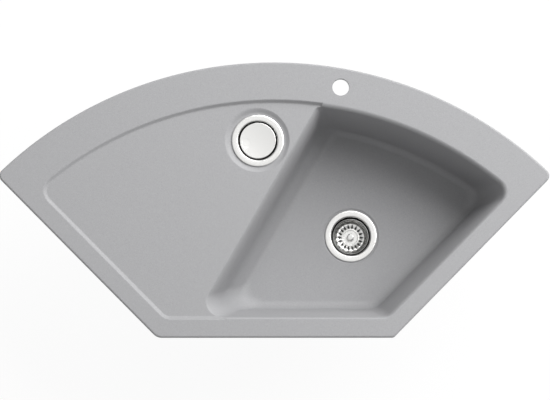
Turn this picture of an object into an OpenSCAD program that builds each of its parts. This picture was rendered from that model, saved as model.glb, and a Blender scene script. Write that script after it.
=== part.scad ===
// Corner kitchen sink, moulded in one piece with a drainboard on the left and a bowl on the right.
// Two basket wastes drain it, and a link pipe joins the drainboard's waste to the bowl's.
// The worktop's top face is the plane z = 0, and the origin lies under the middle of the sink.

/* [Overall] */
// Width from tip to tip
sink_width = 1140; // [1040:5:1240]
// Depth from the front edge to the top of the curved back edge
sink_depth = 575; // [540:5:640]
// Length of the straight front edge before its corners are rounded
front_edge = 490; // [440:2:560]
// Radius of the curved back edge
back_radius = 820; // [780:5:950]

/* [Rim] */
// Thickness of the rim's slab
rim_thick = 8; // [6:0.5:12]
// Radius of the rolled outer edge
rim_roll = 5; // [2:0.5:5.5]
// Width of the rim along the two diagonals
side_margin = 38; // [34:1:50]
// Width of the rim in front of the bowl
front_margin = 40; // [36:1:52]
// Width of the rim along the curved back, where the tap stands
back_margin = 80; // [70:1:95]
// Radius of the two side tips
tip_radius = 15; // [10:1:45]
// Radius of the left front corner
front_left_radius = 25; // [8:1:40]
// Radius of the right front corner
front_right_radius = 9; // [6:1:40]
// Thickness of the sealing strip between the rim and the worktop
strip_thick = 1.5; // [1:0.25:3]
// Width of the sealing strip
strip_width = 8; // [5:0.5:10]
// Distance of the sealing strip from the rim's edge
strip_inset = 3; // [2:0.5:5]

/* [Tap] */
// Diameter of the tap hole
tap_hole_d = 35; // [32:1:38]
// Distance of the tap hole's centre from the recess's curved back
tap_to_recess = 40; // [34:1:46]
// Turn of the tap hole from the middle of the back arc, in degrees
tap_turn = 10.2; // [-25:0.2:25]
// Thickness of the pad round the tap hole
tap_pad = 12; // [8:1:20]
// Clear space under the pad for the tap's nut
tap_nut_d = 54; // [48:1:64]

/* [Drainboard] */
// Drop from the rim to the drainboard at the bowl's edge
board_step = 7; // [5:0.5:10]
// Fall of the drainboard towards the bowl, in per cent
board_fall = 0.8; // [0.2:0.1:1]
// Radius of the recess's corners
recess_radius = 30; // [15:1:45]
// Thickness of the drainboard
board_thick = 9; // [7:0.5:14]
// Width of the dish between the drainboard's flange and its outer edge
board_dish_width = 14; // [9:0.5:18]
// Depth of that dish
board_dish_depth = 5; // [3:0.5:8]
// Distance of the dish from the bowl's edge
dish_to_bowl = 10; // [8:1:42]
// Distance of the dish from the recess's curved back
dish_to_back = 14; // [8:1:72]

/* [Bowl] */
// Depth of the bowl below the rim
bowl_depth = 190; // [150:5:230]
// Thickness of the bowl's walls
wall = 9; // [7:0.5:14]
// Slope of the walls from the vertical, in degrees
draft = 8.5; // [3:0.5:12]
// Radius between the walls and the floor
floor_fillet = 38; // [20:1:50]
// Place where the bowl's left edge would cross the front edge, from the middle
divider_x = -182; // [-230:1:-120]
// Angle of the bowl's left edge from the front edge
divider_angle = 60; // [50:1:75]
// Radius of the bowl's corners
bowl_corner = 32; // [20:1:45]
// Radius of the bowl's corner at the drainboard's back end
bowl_heel = 11; // [8:1:30]
// Width of the seat between the bowl's flange and its outer edge
bowl_seat_width = 8; // [4:0.5:14]
// Depth of that seat
bowl_seat_depth = 3; // [2:0.5:6]
// Place of the bowl's waste, to the right of the middle
bowl_waste_x = 166; // [120:1:200]
// Distance of the bowl's waste in front of the bowl's middle
bowl_waste_forward = 22.5; // [-20:0.5:40]

/* [Wastes] */
// Bore of the flange's cup
cup_d = 80.6; // [66:0.2:98]
// Width of the flange from the cup's bore to its outer edge
flange_width = 13.7; // [11:0.1:17]
// Clearance between the cup and its hole in the moulding
hole_gap = 3.5; // [2:0.25:5]
// Sheet thickness of the flanges and their cups
sheet = 1.2; // [0.8:0.1:1.6]
// Depth of the cup's floor below the moulding
cup_depth = 26; // [22:1:32]
// Thickness of the rubber ring under the flange
flange_seal_thick = 2; // [1:0.25:3]
// Thickness of the rubber ring under the moulding
body_seal_thick = 2; // [1:0.25:3]
// Thickness of the moulding round a waste hole
seat_thick = 9; // [7:0.5:14]
// Wall thickness of the plastic waste bodies
plastic = 3; // [2.5:0.25:4]
// Diameter of the central screws
waste_screw_d = 6; // [5:0.5:8]

/* [Strainers] */
// Clearance between a basket's rim and the cup
basket_gap = 3; // [2:0.1:5]
// Sheet thickness of the baskets
basket_sheet = 1; // [0.6:0.1:1.2]
// Distance between the basket's rim and the plate on its floor
plate_inset = 18.3; // [17.8:0.1:20]
// Slots in a basket
slots = 18; // [12:1:24]
// Width of a slot at its foot, from where it narrows up the basket's side
slot_width = 2.4; // [1.5:0.1:3]
// Diameter of the knob
knob_d = 14; // [10:0.5:18]
// Height of the knob above its plate
knob_height = 12; // [8:0.5:16]
// Clearance between the lid and the cup
lid_gap = 3.2; // [2:0.1:6]
// Diameter of the thumb hollow in the lid
thumb_d = 22; // [16:1:26]
// Direction of the thumb hollow, in degrees from the right
thumb_turn = 192; // [0:1:359]
// Diameter of the stems that stand in the central screws
stem_d = 5; // [4:0.25:6]

/* [Pipes] */
// Outer diameter of the pipes
pipe_d = 40; // [38:0.5:42]
// Wall thickness of the pipes
pipe_wall = 2; // [1.5:0.25:3]
// Height of the threaded ends' outside above the pipe's outside
thread_wall = 3.9; // [3.4:0.1:5]
// Length of the threaded ends
thread_length = 18; // [14:1:24]
// Radius of the link pipe's bend
bend_radius = 45; // [40:1:60]
// Distance of the link pipe below the bowl waste's outlet
link_drop = 40; // [34:1:60]
// Distance between a thread and the outside of its union nut
nut_wall = 6.1; // [5:0.1:8]
// Height of the union nuts
nut_height = 22; // [18:1:28]

/* [Clamps] */
// Thickest worktop that the clamps reach under
worktop = 40; // [28:1:45]
// Diameter of the clamp bosses under the rim
boss_d = 16; // [14:0.5:20]
// Distance of the bosses' centres from the recess's edge
boss_to_recess = 15; // [12:0.5:17]
// Diameter of the clamp screws
clamp_screw_d = 6; // [5:0.5:8]
// Width of the clamp arms
clamp_width = 20; // [15:1:26]
// Thickness of the clamp arms
clamp_thick = 3; // [2:0.5:4]

/* [Hidden] */
$fn = 72;

corner_steps = 7;
back_steps = 34;
fillet_steps = 5;
fit = 0.05;

granite = [0.71, 0.71, 0.72];
steel = [0.86, 0.86, 0.85];
zinc = [0.72, 0.73, 0.74];
rubber = [0.12, 0.12, 0.13];
white_plastic = [0.93, 0.93, 0.92];
brass = [0.8, 0.66, 0.36];

flange_d = cup_d + 2*flange_width;
waste_hole_d = cup_d + 2*(sheet + hole_gap);
board_dish_d = flange_d + 2*board_dish_width;
bowl_seat_d = flange_d + 2*bowl_seat_width;
basket_d = cup_d - 2*basket_gap;
plate_d = basket_d - 2*plate_inset;
lid_d = cup_d - 2*lid_gap;
thread_d = pipe_d + 2*thread_wall;
nut_d = thread_d + 2*nut_wall;
boss_inset = side_margin - boss_to_recess;
tap_inset = back_margin - tap_to_recess;

front_y = -sink_depth/2;
rim_base = strip_thick;
rim_top = rim_base + rim_thick;
arc_centre = [0, sink_depth/2 - back_radius];
recess_back = back_radius - back_margin;

function unit(a) = [cos(a), sin(a)];
function direction(v) = atan2(v[1], v[0]);

// Plan lines: a side is [x, y, angle], and its hand is 1 on the left and -1 on the right.
tip_x = sink_width/2 - tip_radius;
tip_y = arc_centre[1] + sqrt(pow(back_radius - tip_radius, 2) - tip_x*tip_x);
tip_reach = [tip_x - front_edge/2, tip_y - front_y];
side_angle = direction(tip_reach) - asin(tip_radius/norm(tip_reach));
left_side = [-front_edge/2, front_y, 180 - side_angle];
right_side = [front_edge/2, front_y, side_angle];
divider_side = [divider_x, front_y, divider_angle];

// A point of the side after it has moved inwards by e
function inward(side, hand, e) =
    [side[0] + hand*e*sin(side[2]), side[1] - hand*e*cos(side[2])];

// The side itself, moved inwards by e
function moved(side, hand, e) = concat(inward(side, hand, e), side[2]);

// Where the side, moved inwards by e, crosses the level y
function crossing(side, hand, e, y) =
    let (p = inward(side, hand, e), t = (y - p[1])/sin(side[2]))
    [p[0] + t*cos(side[2]), y];

// Where the side, moved inwards by e, lies at distance r from the back arc's centre
function meeting(side, hand, e, r) =
    let (p = inward(side, hand, e) - arc_centre, u = unit(side[2]), w = p*u,
         t = -w + sqrt(w*w - p*p + r*r))
    arc_centre + p + t*u;

function arc(c, r, from, to, steps) =
    [for (i = [0:steps]) c + r*unit(from + (to - from)*i/steps)];

// Closed outline between a front line, two sides and a back arc, moved inwards by e.
// r holds the corner radii: front left, front right, back right, back left.
function outline(front, left, right, back, e, r) =
    let (fl = crossing(left, 1, e + r[0], front + e + r[0]),
         fr = crossing(right, -1, e + r[1], front + e + r[1]),
         br = meeting(right, -1, e + r[2], back - e - r[2]),
         bl = meeting(left, 1, e + r[3], back - e - r[3]),
         from = direction(br - arc_centre), to = direction(bl - arc_centre))
    concat(arc(fl, r[0], left[2] + 90, 270, corner_steps),
        arc(fr, r[1], 270, right[2] + 270, corner_steps),
        arc(br, r[2], right[2] - 90, from, corner_steps),
        [for (i = [1:back_steps - 1])
            arc_centre + (back - e)*unit(from + (to - from)*i/back_steps)],
        arc(bl, r[3], to, left[2] + 90, corner_steps));

// Lines of the recess, which the drainboard and the bowl share. They run through the middle of
// its slope, whose top lies slope_out outside them.
slope_out = 3.5;
recess_left = moved(left_side, 1, side_margin + slope_out);
recess_right = moved(right_side, -1, side_margin - 1.5);
recess_front = front_y + front_margin;

// Distance of a plan point from the bowl's edge, towards the drainboard
function from_bowl(p) =
    (divider_side[0] - p[0])*sin(divider_angle) + (p[1] - divider_side[1])*cos(divider_angle);
function board_level(p) = rim_top - board_step + board_fall/100*from_bowl(p);

board_waste = meeting(divider_side, -1, board_dish_d/2 + dish_to_bowl,
    recess_back - board_dish_d/2 - dish_to_back);
board_seat_z = board_level(board_waste) - board_dish_depth;

bowl_mid_y = (recess_front + arc_centre[1] + sqrt(pow(recess_back, 2) - bowl_waste_x*bowl_waste_x))/2;
bowl_waste = [bowl_waste_x, bowl_mid_y - bowl_waste_forward];
floor_z = rim_top - bowl_depth;
bowl_seat_z = floor_z - bowl_seat_depth;

tap_place = arc_centre + (back_radius - tap_inset)*unit(90 - tap_turn);

module at(p, z) { translate([p[0], p[1], z]) children(); }

// Closed solid through rings of points, listed from the lowest ring to the highest
module skin(rings) {
    n = len(rings[0]);
    last = len(rings) - 1;
    polyhedron(
        points = [for (ring = rings) for (p = ring) p],
        faces = concat(
            [[for (i = [0:n - 1]) i]],
            [for (k = [0:last - 1]) for (i = [0:n - 1])
                [k*n + i, (k + 1)*n + i, (k + 1)*n + (i + 1)%n]],
            [for (k = [0:last - 1]) for (i = [0:n - 1])
                [k*n + i, (k + 1)*n + (i + 1)%n, k*n + (i + 1)%n]],
            [[for (i = [0:n - 1]) last*n + n - 1 - i]]),
        convexity = 6);
}

function level_ring(plan, z) = [for (p = plan) [p[0], p[1], z]];

function rim_ring(e, z) =
    level_ring(outline(front_y, left_side, right_side, back_radius, e,
        [front_left_radius - e, front_right_radius - e, tip_radius - e, tip_radius - e]), z);

// Slab of the rim, with its outer edge rolled over a quarter circle
module rim() {
    skin([rim_ring(0.8, rim_base), rim_ring(0, rim_base + 1.2),
        for (a = [0:22.5:90]) rim_ring(rim_roll*(1 - cos(a)), rim_top - rim_roll*(1 - sin(a)))]);
}

// Plan of the recess round the drainboard and the bowl; e moves it inwards
function recess_plan(e) =
    outline(recess_front, recess_left, recess_right, recess_back, e,
        [recess_radius - e, bowl_corner - e, bowl_corner - 2 - e, recess_radius - e]);
function recess_ring(e, dz) = [for (p = recess_plan(e)) [p[0], p[1], board_level(p) + dz]];

// Hollow of the recess down to the drainboard, with a soft edge at the rim and at its foot
module recess() {
    skin([recess_ring(7, 0), recess_ring(4.4, 0.5), recess_ring(2.6, 1.5),
        level_ring(recess_plan(-1), rim_top - 0.9),
        level_ring(recess_plan(-slope_out), rim_top + 0.15),
        level_ring(recess_plan(-slope_out), rim_top + 6)]);
}

// Plan of the drainboard's underside, which runs a little way past the bowl's edge
lap = 14;
board_right = moved(divider_side, -1, -lap);
function board_plan(e, r) =
    outline(recess_front, recess_left, board_right, recess_back, e, [r, r, bowl_heel, r]);
function board_ring(e, r, dz) = [for (p = board_plan(e, r)) [p[0], p[1], board_level(p) + dz]];

// Underside of the drainboard, hung from the rim
module board_tray() {
    r = recess_radius + wall;
    skin([board_ring(-wall + 2, r - 2, -board_thick), board_ring(-wall, r, 2 - board_thick),
        level_ring(board_plan(-wall, r), rim_base + 2)]);
}

// Bowl plan, moved inwards by e; its heel widens from the edge to the floor
function bowl_plan(e, grow) =
    outline(recess_front, divider_side, recess_right, recess_back, e,
        [bowl_corner, bowl_corner, bowl_corner - 2, bowl_heel + grow]);

// Ring of the bowl's edge, dz above the drainboard's plane: e is its offset along the divider,
// and side_e its offset along the recess's slope at the front, the right and the back
function edge_ring(e, side_e, dz) =
    [for (p = outline(recess_front + side_e - e, divider_side, moved(recess_right, -1, side_e - e),
            recess_back - side_e + e, e,
            [bowl_corner, bowl_corner - side_e, bowl_corner - 2 - side_e, bowl_heel]))
        [p[0], p[1], board_level(p) + dz]];

fillet_foot = (bowl_depth - floor_fillet*(1 - sin(draft)))*tan(draft);
fillet_centre = fillet_foot + floor_fillet*cos(draft);
heel_growth = bowl_corner - bowl_heel;

// Ring of the bowl's wall at the angle a of its floor fillet, t outside the inner face
function fillet_ring(a, t) =
    level_ring(bowl_plan(fillet_centre - (floor_fillet + t)*cos(a), heel_growth),
        floor_z + floor_fillet - (floor_fillet + t)*sin(a));

// Points of a floor ring drawn in to a circle of radius r round the waste
function drawn_in(ring, c, r, z) =
    [for (p = ring) let (q = c + r*unit(direction([p[0], p[1]] - c))) [q[0], q[1], z]];

module bowl_hollow() {
    floor_ring = fillet_ring(90, 0);
    skin([drawn_in(floor_ring, bowl_waste, bowl_seat_d/2 - 6, floor_z - 1.2), floor_ring,
        for (i = [1:fillet_steps]) fillet_ring(90 - (90 - draft)*i/fillet_steps, 0),
        edge_ring(2.6, 5.2, -9), edge_ring(1.2, 4.2, -4.6), edge_ring(-1.6, 3.4, -1.9),
        edge_ring(-5.2, 2.9, -0.6), edge_ring(-9, 2.4, 0.15), edge_ring(-9, 1.6, 2.7),
        edge_ring(-9, 1.6, 18)]);
}

module bowl_shell() {
    skin([for (i = [0:fillet_steps]) fillet_ring(90 - (90 - draft)*i/fillet_steps, wall),
        level_ring(bowl_plan(-wall, 0), rim_base + 1)]);
}

// Bosses that take the clamps' inserts: [place, outward angle]
function side_spot(hand, share) =
    let (p = inward(right_side, -1, boss_inset) + share*norm(tip_reach)*unit(side_angle))
    [[hand*p[0], p[1]], hand > 0 ? side_angle - 90 : 270 - side_angle];
function back_spot(a) = [arc_centre + (back_radius - boss_inset)*unit(a), a];
tip_angle = direction([tip_x, tip_y] - arc_centre);
clamp_spots = concat(
    [for (hand = [-1, 1]) [[hand*front_edge*0.32, front_y + boss_inset], 270]],
    [for (hand = [-1, 1]) for (share = [0.3, 0.75]) side_spot(hand, share)],
    [for (share = [0.1, 0.32, 0.5, 0.68, 0.9]) back_spot(tip_angle + share*(180 - 2*tip_angle))]);
boss_foot = -18;
insert_d = clamp_screw_d + 2.4;
insert_length = 12;

module over_clamps() {
    for (spot = clamp_spots)
        translate([spot[0][0], spot[0][1], 0]) rotate([0, 0, spot[1]]) children();
}

// Rib under the back rim, and a web behind each boss that stands there
rib_thick = 5;
rib_depth = 10;
rib_inset = boss_inset - 4;
module back_ribs() {
    web = back_margin - boss_inset - wall/2;
    difference() {
        union() {
            translate([arc_centre[0], arc_centre[1], rim_base - rib_depth])
                rotate([0, 0, tip_angle + 2])
                    rotate_extrude(angle = 176 - 2*tip_angle)
                        translate([back_radius - rib_inset - rib_thick/2, 0])
                            square([rib_thick, rib_depth + 1]);
            for (share = [0.32, 0.5, 0.68]) {
                spot = back_spot(tip_angle + share*(180 - 2*tip_angle));
                at(spot[0], rim_base - rib_depth) rotate([0, 0, spot[1]])
                    translate([-web, -rib_thick/2, 0]) cube([web, rib_thick, rib_depth + 1]);
            }
        }
        at(tap_place, rim_base - rib_depth - 1) cylinder(h = rib_depth + 1, d = tap_nut_d);
    }
}

module sink_body() {
    color(granite)
    difference() {
        union() {
            rim();
            board_tray();
            bowl_shell();
            back_ribs();
            over_clamps() translate([0, 0, boss_foot])
                cylinder(h = rim_base + 1 - boss_foot, d = boss_d);
            at(tap_place, rim_top - tap_pad) cylinder(h = tap_pad - 1, d = tap_nut_d + 2);
            at(board_waste, board_seat_z - seat_thick) cylinder(h = seat_thick, d = board_dish_d - 8);
            at(bowl_waste, bowl_seat_z - seat_thick) cylinder(h = seat_thick, d = bowl_seat_d + 6);
        }
        recess();
        bowl_hollow();
        at(tap_place, rim_top - tap_pad - 1) cylinder(h = tap_pad + 2, d = tap_hole_d);
        dish_cut(board_waste, board_seat_z, board_dish_d, board_dish_depth);
        dish_cut(bowl_waste, bowl_seat_z, bowl_seat_d, bowl_seat_depth);
        over_clamps() translate([0, 0, boss_foot - 1]) cylinder(h = insert_length + 1, d = insert_d);
    }
}

// Dish with a sloping side round a waste, and the waste hole through its floor
module dish_cut(p, z, d, depth) {
    seat = flange_d/2 + 2;
    steep = (d/2 - seat)/depth;
    at(p, z) cylinder(h = depth + 2, r1 = seat, r2 = seat + steep*(depth + 2));
    at(p, z - seat_thick - 1) cylinder(h = seat_thick + 2, d = waste_hole_d);
}

// Sealing strip between the rim and the worktop
module rim_strip() {
    color(rubber)
    linear_extrude(strip_thick)
        difference() {
            polygon(rim_plan(strip_inset));
            polygon(rim_plan(strip_inset + strip_width));
            for (spot = clamp_spots) translate(spot[0]) circle(d = boss_d + 2);
            translate(tap_place) circle(d = tap_nut_d + 3);
        }
}
function rim_plan(e) =
    outline(front_y, left_side, right_side, back_radius, e,
        [front_left_radius, max(front_right_radius, 6), tip_radius, tip_radius]);

// Clamps: a bent strap hangs on the screw under each boss. Its toe reaches out under the
// worktop, and its heel stands up against the boss's foot.
toe = 8;
arm_z = -worktop - toe;
arm_reach = boss_inset - 7;
heel_x = boss_d/2 - 1;
slot_d = clamp_screw_d + 0.6;
module clamp_arms() {
    color(zinc)
    over_clamps() difference() {
        translate([0, clamp_width/2, 0]) rotate([90, 0, 0]) linear_extrude(clamp_width)
            polygon([[-heel_x, arm_z + 2], [2 - heel_x, arm_z], [arm_reach - 2, arm_z],
                [arm_reach, arm_z + 2], [arm_reach, -worktop], [arm_reach - clamp_thick, -worktop],
                [arm_reach - clamp_thick, arm_z + clamp_thick],
                [clamp_thick - heel_x, arm_z + clamp_thick], [clamp_thick - heel_x, boss_foot],
                [-heel_x, boss_foot]]);
        translate([0, 0, arm_z - 1]) cylinder(h = clamp_thick + 2, d = slot_d);
        translate([0, -slot_d/2, arm_z - 1]) cube([slot_d, slot_d, clamp_thick + 2]);
        translate([slot_d, 0, arm_z - 1]) cylinder(h = clamp_thick + 2, d = slot_d);
    }
}

screw_cap = 4;
module clamp_screws() {
    color(zinc)
    over_clamps() difference() {
        union() {
            translate([0, 0, arm_z - screw_cap])
                cylinder(h = screw_cap, d = clamp_screw_d*2.2);
            translate([0, 0, arm_z - 1])
                cylinder(h = boss_foot + insert_length - arm_z, d = clamp_screw_d);
        }
        translate([-clamp_screw_d*2, -0.6, arm_z - screw_cap - 1])
            cube([clamp_screw_d*4, 1.2, screw_cap/2 + 1]);
    }
}

module clamp_inserts() {
    color(brass)
    over_clamps() translate([0, 0, boss_foot]) difference() {
        cylinder(h = insert_length, d = insert_d);
        translate([0, 0, -1]) cylinder(h = insert_length + 2, d = clamp_screw_d + 2*fit);
    }
}

// Wastes: each is drawn at the seat, with z = 0 on the moulding's face
cup_r = cup_d/2;
lip_top = flange_seal_thick + sheet;
throat_r = plate_d/2 - 3;
throat_z = -cup_depth - 10;
window_r = waste_screw_d/2 + 2.5;

module waste_flange() {
    r = flange_d/2;
    difference() {
        rotate_extrude()
            polygon([[r - sheet, 0.3], [r, 0.3], [r, lip_top - 1.6], [r - 0.8, lip_top - 0.5],
                [r - 2.6, lip_top], [cup_r + 3.2, lip_top], [cup_r + 1, lip_top - 0.5],
                [cup_r, lip_top - 1.8], [cup_r, 6 - cup_depth], [cup_r - 5, -cup_depth],
                [throat_r, -cup_depth - 0.6], [throat_r, throat_z + sheet], [0, throat_z + sheet],
                [0, throat_z], [throat_r + sheet, throat_z],
                [throat_r + sheet, -cup_depth - 0.6 - sheet], [cup_r - 4.6, -cup_depth - sheet],
                [cup_r + sheet, 5.6 - cup_depth], [cup_r + sheet, lip_top - 2.2],
                [cup_r + 2, flange_seal_thick], [r - 2, flange_seal_thick],
                [r - sheet, lip_top - 2]]);
        translate([0, 0, throat_z - 1]) cylinder(h = sheet + 2, d = waste_screw_d + 0.4);
        for (i = [0:5]) rotate([0, 0, 60*i]) throat_window();
    }
}

// One of the windows in the cup's floor, between two spokes
module throat_window() {
    translate([0, 0, throat_z - 1])
        rotate([0, 0, 10])
            rotate_extrude(angle = 40)
                translate([window_r, 0]) square([throat_r - 1 - window_r, sheet + 2]);
}

module waste_flange_seal() {
    rotate_extrude()
        polygon([[cup_r + 2.6, 0], [flange_d/2 - 2.4, 0],
            [flange_d/2 - 2.4, flange_seal_thick], [cup_r + 2.6, flange_seal_thick]]);
}

// Plastic body under the moulding, down to its threaded outlet
body_top = -seat_thick - body_seal_thick;
body_r = cup_r + sheet + 1.6;
body_floor = throat_z - 12;
outlet_z = body_floor - 18;
body_end = outlet_z - thread_length;
bore_r = pipe_d/2 - pipe_wall;
hub_r = waste_screw_d/2 + 5;
hub_top = throat_z - 9;

module waste_body() {
    outlet_r = thread_d/2;
    difference() {
        union() {
            rotate_extrude()
                polygon([[bore_r, body_end], [outlet_r, body_end], [outlet_r, outlet_z],
                    [outlet_r + 1, outlet_z + 1], [body_r + plastic, body_floor + 6],
                    [body_r + plastic, body_top - 6], [flange_d/2 + 3, body_top - 4],
                    [flange_d/2 + 3, body_top], [body_r, body_top], [body_r, body_floor + 7],
                    [bore_r, outlet_z + 2]]);
            translate([0, 0, outlet_z + 2]) cylinder(h = hub_top - outlet_z - 2, r = hub_r);
            for (i = [0:3]) rotate([0, 0, 90*i])
                translate([hub_r - 1, -1.5, outlet_z + 3]) cube([bore_r - hub_r + 8.5, 3, 12]);
            for (i = [0:11]) rotate([0, 0, 30*i])
                translate([body_r + plastic - 1, -1.2, body_floor + 9])
                    cube([6, 2.4, body_top - 13 - body_floor]);
        }
        translate([0, 0, hub_top - 14]) cylinder(h = 15, d = waste_screw_d + 4);
    }
}

module waste_body_seal() {
    translate([0, 0, -seat_thick - body_seal_thick]) difference() {
        cylinder(h = body_seal_thick, d = flange_d + 4);
        translate([0, 0, -1]) cylinder(h = body_seal_thick + 2, d = waste_hole_d - 1);
    }
}

// Central screw, whose head is bored for the strainer's stem
screw_head = 6;
module waste_screw() {
    translate([0, 0, throat_z + sheet]) difference() {
        union() {
            cylinder(h = screw_head, r = waste_screw_d/2 + 1.6);
            translate([0, 0, -sheet - 20]) cylinder(h = sheet + 21, d = waste_screw_d);
        }
        translate([0, 0, 1]) cylinder(h = screw_head, d = stem_d + 2*fit);
    }
}

module screw_insert() {
    translate([0, 0, hub_top - 14]) difference() {
        cylinder(h = 13, d = waste_screw_d + 4);
        translate([0, 0, -1]) cylinder(h = 15, d = waste_screw_d + 2*fit);
    }
}

// Strainers: the basket stands on a plug seal in the cup's throat
basket_floor = -cup_depth + 1.2;
basket_rim = -5;

module basket() {
    r = basket_d/2;
    foot_r = plate_d/2 + 3.4;
    t = basket_sheet;
    difference() {
        rotate_extrude()
            polygon([[stem_d/2, basket_floor], [foot_r - 0.6, basket_floor],
                [foot_r + 7.6, basket_floor + 9], [r - 3.4, basket_floor + 11],
                [r - 1.6, basket_rim - 1.6], [r - 0.3, basket_rim - 1], [r, basket_rim - 0.2],
                [r - 0.4, basket_rim + 0.6], [r - 1.4, basket_rim + 0.8],
                [r - 2.6, basket_rim - 0.4], [r - 4.4, basket_floor + 12],
                [foot_r + 7.2, basket_floor + 9 + t*1.3], [foot_r - 1.2, basket_floor + t],
                [stem_d/2, basket_floor + t]]);
        for (i = [0:slots - 1]) rotate([0, 0, 360*i/slots])
            translate([0, 0, basket_floor - 1]) linear_extrude(11)
                polygon([[foot_r - 2.6, -slot_width/2], [foot_r, -slot_width/2], [foot_r + 6.2, -0.4],
                    [foot_r + 6.2, 0.4], [foot_r, slot_width/2], [foot_r - 2.6, slot_width/2]]);
    }
}

module plate() {
    r = plate_d/2;
    z = basket_floor + basket_sheet;
    translate([0, 0, z]) rotate_extrude()
        polygon([[stem_d/2, 0], [r - 1, 0], [r, 0.5], [r, 1.2], [r - 0.8, 1.8], [r - 3.2, 1.8],
            [r - 4, 1.3], [r - 4.4, 1], [stem_d/2, 1]]);
}

// Stem from the screw's head up to the height top
stem_foot = throat_z + sheet + 1.3;
module stem(top) {
    translate([0, 0, stem_foot]) cylinder(h = top - stem_foot, d = stem_d);
}

plate_z = basket_floor + basket_sheet + 1;
module knob() {
    r = knob_d/2;
    z = plate_z;
    union() {
        stem(z + 2);
        translate([0, 0, z]) rotate_extrude()
            polygon([[0, 0], [r - 1, 0], [r - 1.6, 1.2], [r - 2.2, 3], [r - 2, knob_height - 4],
                [r - 0.4, knob_height - 2.6], [r, knob_height - 1.4], [r - 0.6, knob_height - 0.4],
                [r - 2, knob_height], [0, knob_height]]);
    }
}

module plug_seal() {
    rotate_extrude()
        polygon([[stem_d/2, basket_floor - 3], [throat_r - 2, basket_floor - 3],
            [throat_r - 0.4, -cup_depth - 0.6], [throat_r, -cup_depth - 0.3],
            [throat_r + 1.8, -cup_depth - 0.25], [throat_r + 2, basket_floor],
            [stem_d/2, basket_floor]]);
}

// Lid that stands level with its flange, with a hollow for the thumb at its left edge
lid_z = lip_top - 1.8;
module lid() {
    r = lid_d/2;
    thumb_r = thumb_d/2;
    thumb_x = r - thumb_r - 1.2;
    ball = 30;
    sink = 1.9;
    ball_z = lid_z + 1.6 + sqrt(ball*ball - thumb_r*thumb_r);
    rotate([0, 0, thumb_turn]) difference() {
        union() {
            translate([0, 0, lid_z]) rotate_extrude()
                polygon([[0, 0], [r - 1, 0], [r, 0.5], [r, 1], [r - 0.6, 1.6], [0, 1.6]]);
            translate([thumb_x, 0, lid_z - sink])
                cylinder(h = sink + 0.5, r1 = thumb_r - 5, r2 = thumb_r);
        }
        translate([thumb_x, 0, ball_z]) sphere(r = ball);
    }
}

module lid_post() {
    union() {
        stem(lid_z);
        translate([0, 0, plate_z]) cylinder(h = 2, d = stem_d + 5);
        translate([0, 0, lid_z - 2]) cylinder(h = 2, d = stem_d + 9);
    }
}

// Unions: a nut draws a pipe's collar and a washer up against a threaded end
washer = 2;
collar = 3;
collar_r = thread_d/2 - 0.6;

// Washer under a threaded end at z = 0
module union_washer() {
    translate([0, 0, -washer]) difference() {
        cylinder(h = washer, r = collar_r);
        translate([0, 0, -1]) cylinder(h = washer + 2, r = bore_r);
    }
}

module union_nut() {
    foot = -washer - collar - 4;
    union() {
        translate([0, 0, foot]) rotate_extrude()
            polygon([[pipe_d/2 + 0.3, 0], [nut_d/2 - 2.4, 0], [nut_d/2 - 1, 1.4],
                [nut_d/2 - 1, nut_height - 1], [nut_d/2 - 2, nut_height],
                [thread_d/2 + 0.2, nut_height], [thread_d/2 + 0.2, 4], [pipe_d/2 + 0.3, 4]]);
        for (i = [0:11]) rotate([0, 0, 30*i])
            translate([nut_d/2 - 2, -2, foot + 2]) cube([2, 4, nut_height - 4]);
    }
}

bowl_end = bowl_seat_z + body_end;
drainer_end = board_seat_z + body_end;
link_z = bowl_end - link_drop;
run = board_waste - bowl_waste;
run_length = norm(run);
run_angle = direction(run);
tee_arm = 62;
tee_foot = link_z - 45;
socket_r = pipe_d/2 + 0.3;

// Tee under the bowl's waste: a side arm takes the link pipe, and the foot takes a trap
module outlet_tee() {
    color(white_plastic)
    at(bowl_waste, 0) difference() {
        union() {
            translate([0, 0, bowl_end - washer - collar]) cylinder(h = collar, r = collar_r);
            translate([0, 0, tee_foot]) cylinder(h = bowl_end - washer - 1 - tee_foot, d = pipe_d);
            translate([0, 0, tee_foot]) cylinder(h = thread_length, d = thread_d);
            along_run(0) cylinder(h = tee_arm, d = pipe_d + 2*pipe_wall);
            along_run(tee_arm - thread_length) cylinder(h = thread_length, d = thread_d);
        }
        translate([0, 0, tee_foot - 1]) cylinder(h = bowl_end - tee_foot + 2, r = bore_r);
        along_run(0) cylinder(h = tee_arm + 1, r = bore_r);
        along_run(tee_arm - 26) cylinder(h = 27, r = socket_r);
    }
}

// Frame whose +Z runs along the link pipe, s from the tee's axis
module along_run(s) {
    translate([s*cos(run_angle), s*sin(run_angle), link_z])
        rotate([0, 0, run_angle]) rotate([0, 90, 0]) children();
}

// Link pipe: down from the drainboard's waste, round a bend and along to the tee
module link_pipe() {
    drop = drainer_end - link_z - bend_radius;
    straight = run_length - bend_radius - tee_arm + 24;
    color(white_plastic)
    at(board_waste, link_z) rotate([0, 0, run_angle]) union() {
        translate([0, 0, bend_radius]) difference() {
            union() {
                cylinder(h = drop - washer - 1, d = pipe_d);
                translate([0, 0, drop - washer - collar]) cylinder(h = collar, r = collar_r);
            }
            cylinder(h = drop, r = bore_r);
        }
        translate([-bend_radius, 0, bend_radius]) rotate([90, 0, 0]) rotate([0, 0, -90])
            rotate_extrude(angle = 90) translate([bend_radius, 0]) difference() {
                circle(d = pipe_d);
                circle(r = bore_r);
            }
        translate([-bend_radius, 0, 0]) rotate([0, -90, 0]) difference() {
            cylinder(h = straight, d = pipe_d);
            cylinder(h = straight + 1, r = bore_r);
        }
    }
}

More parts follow.
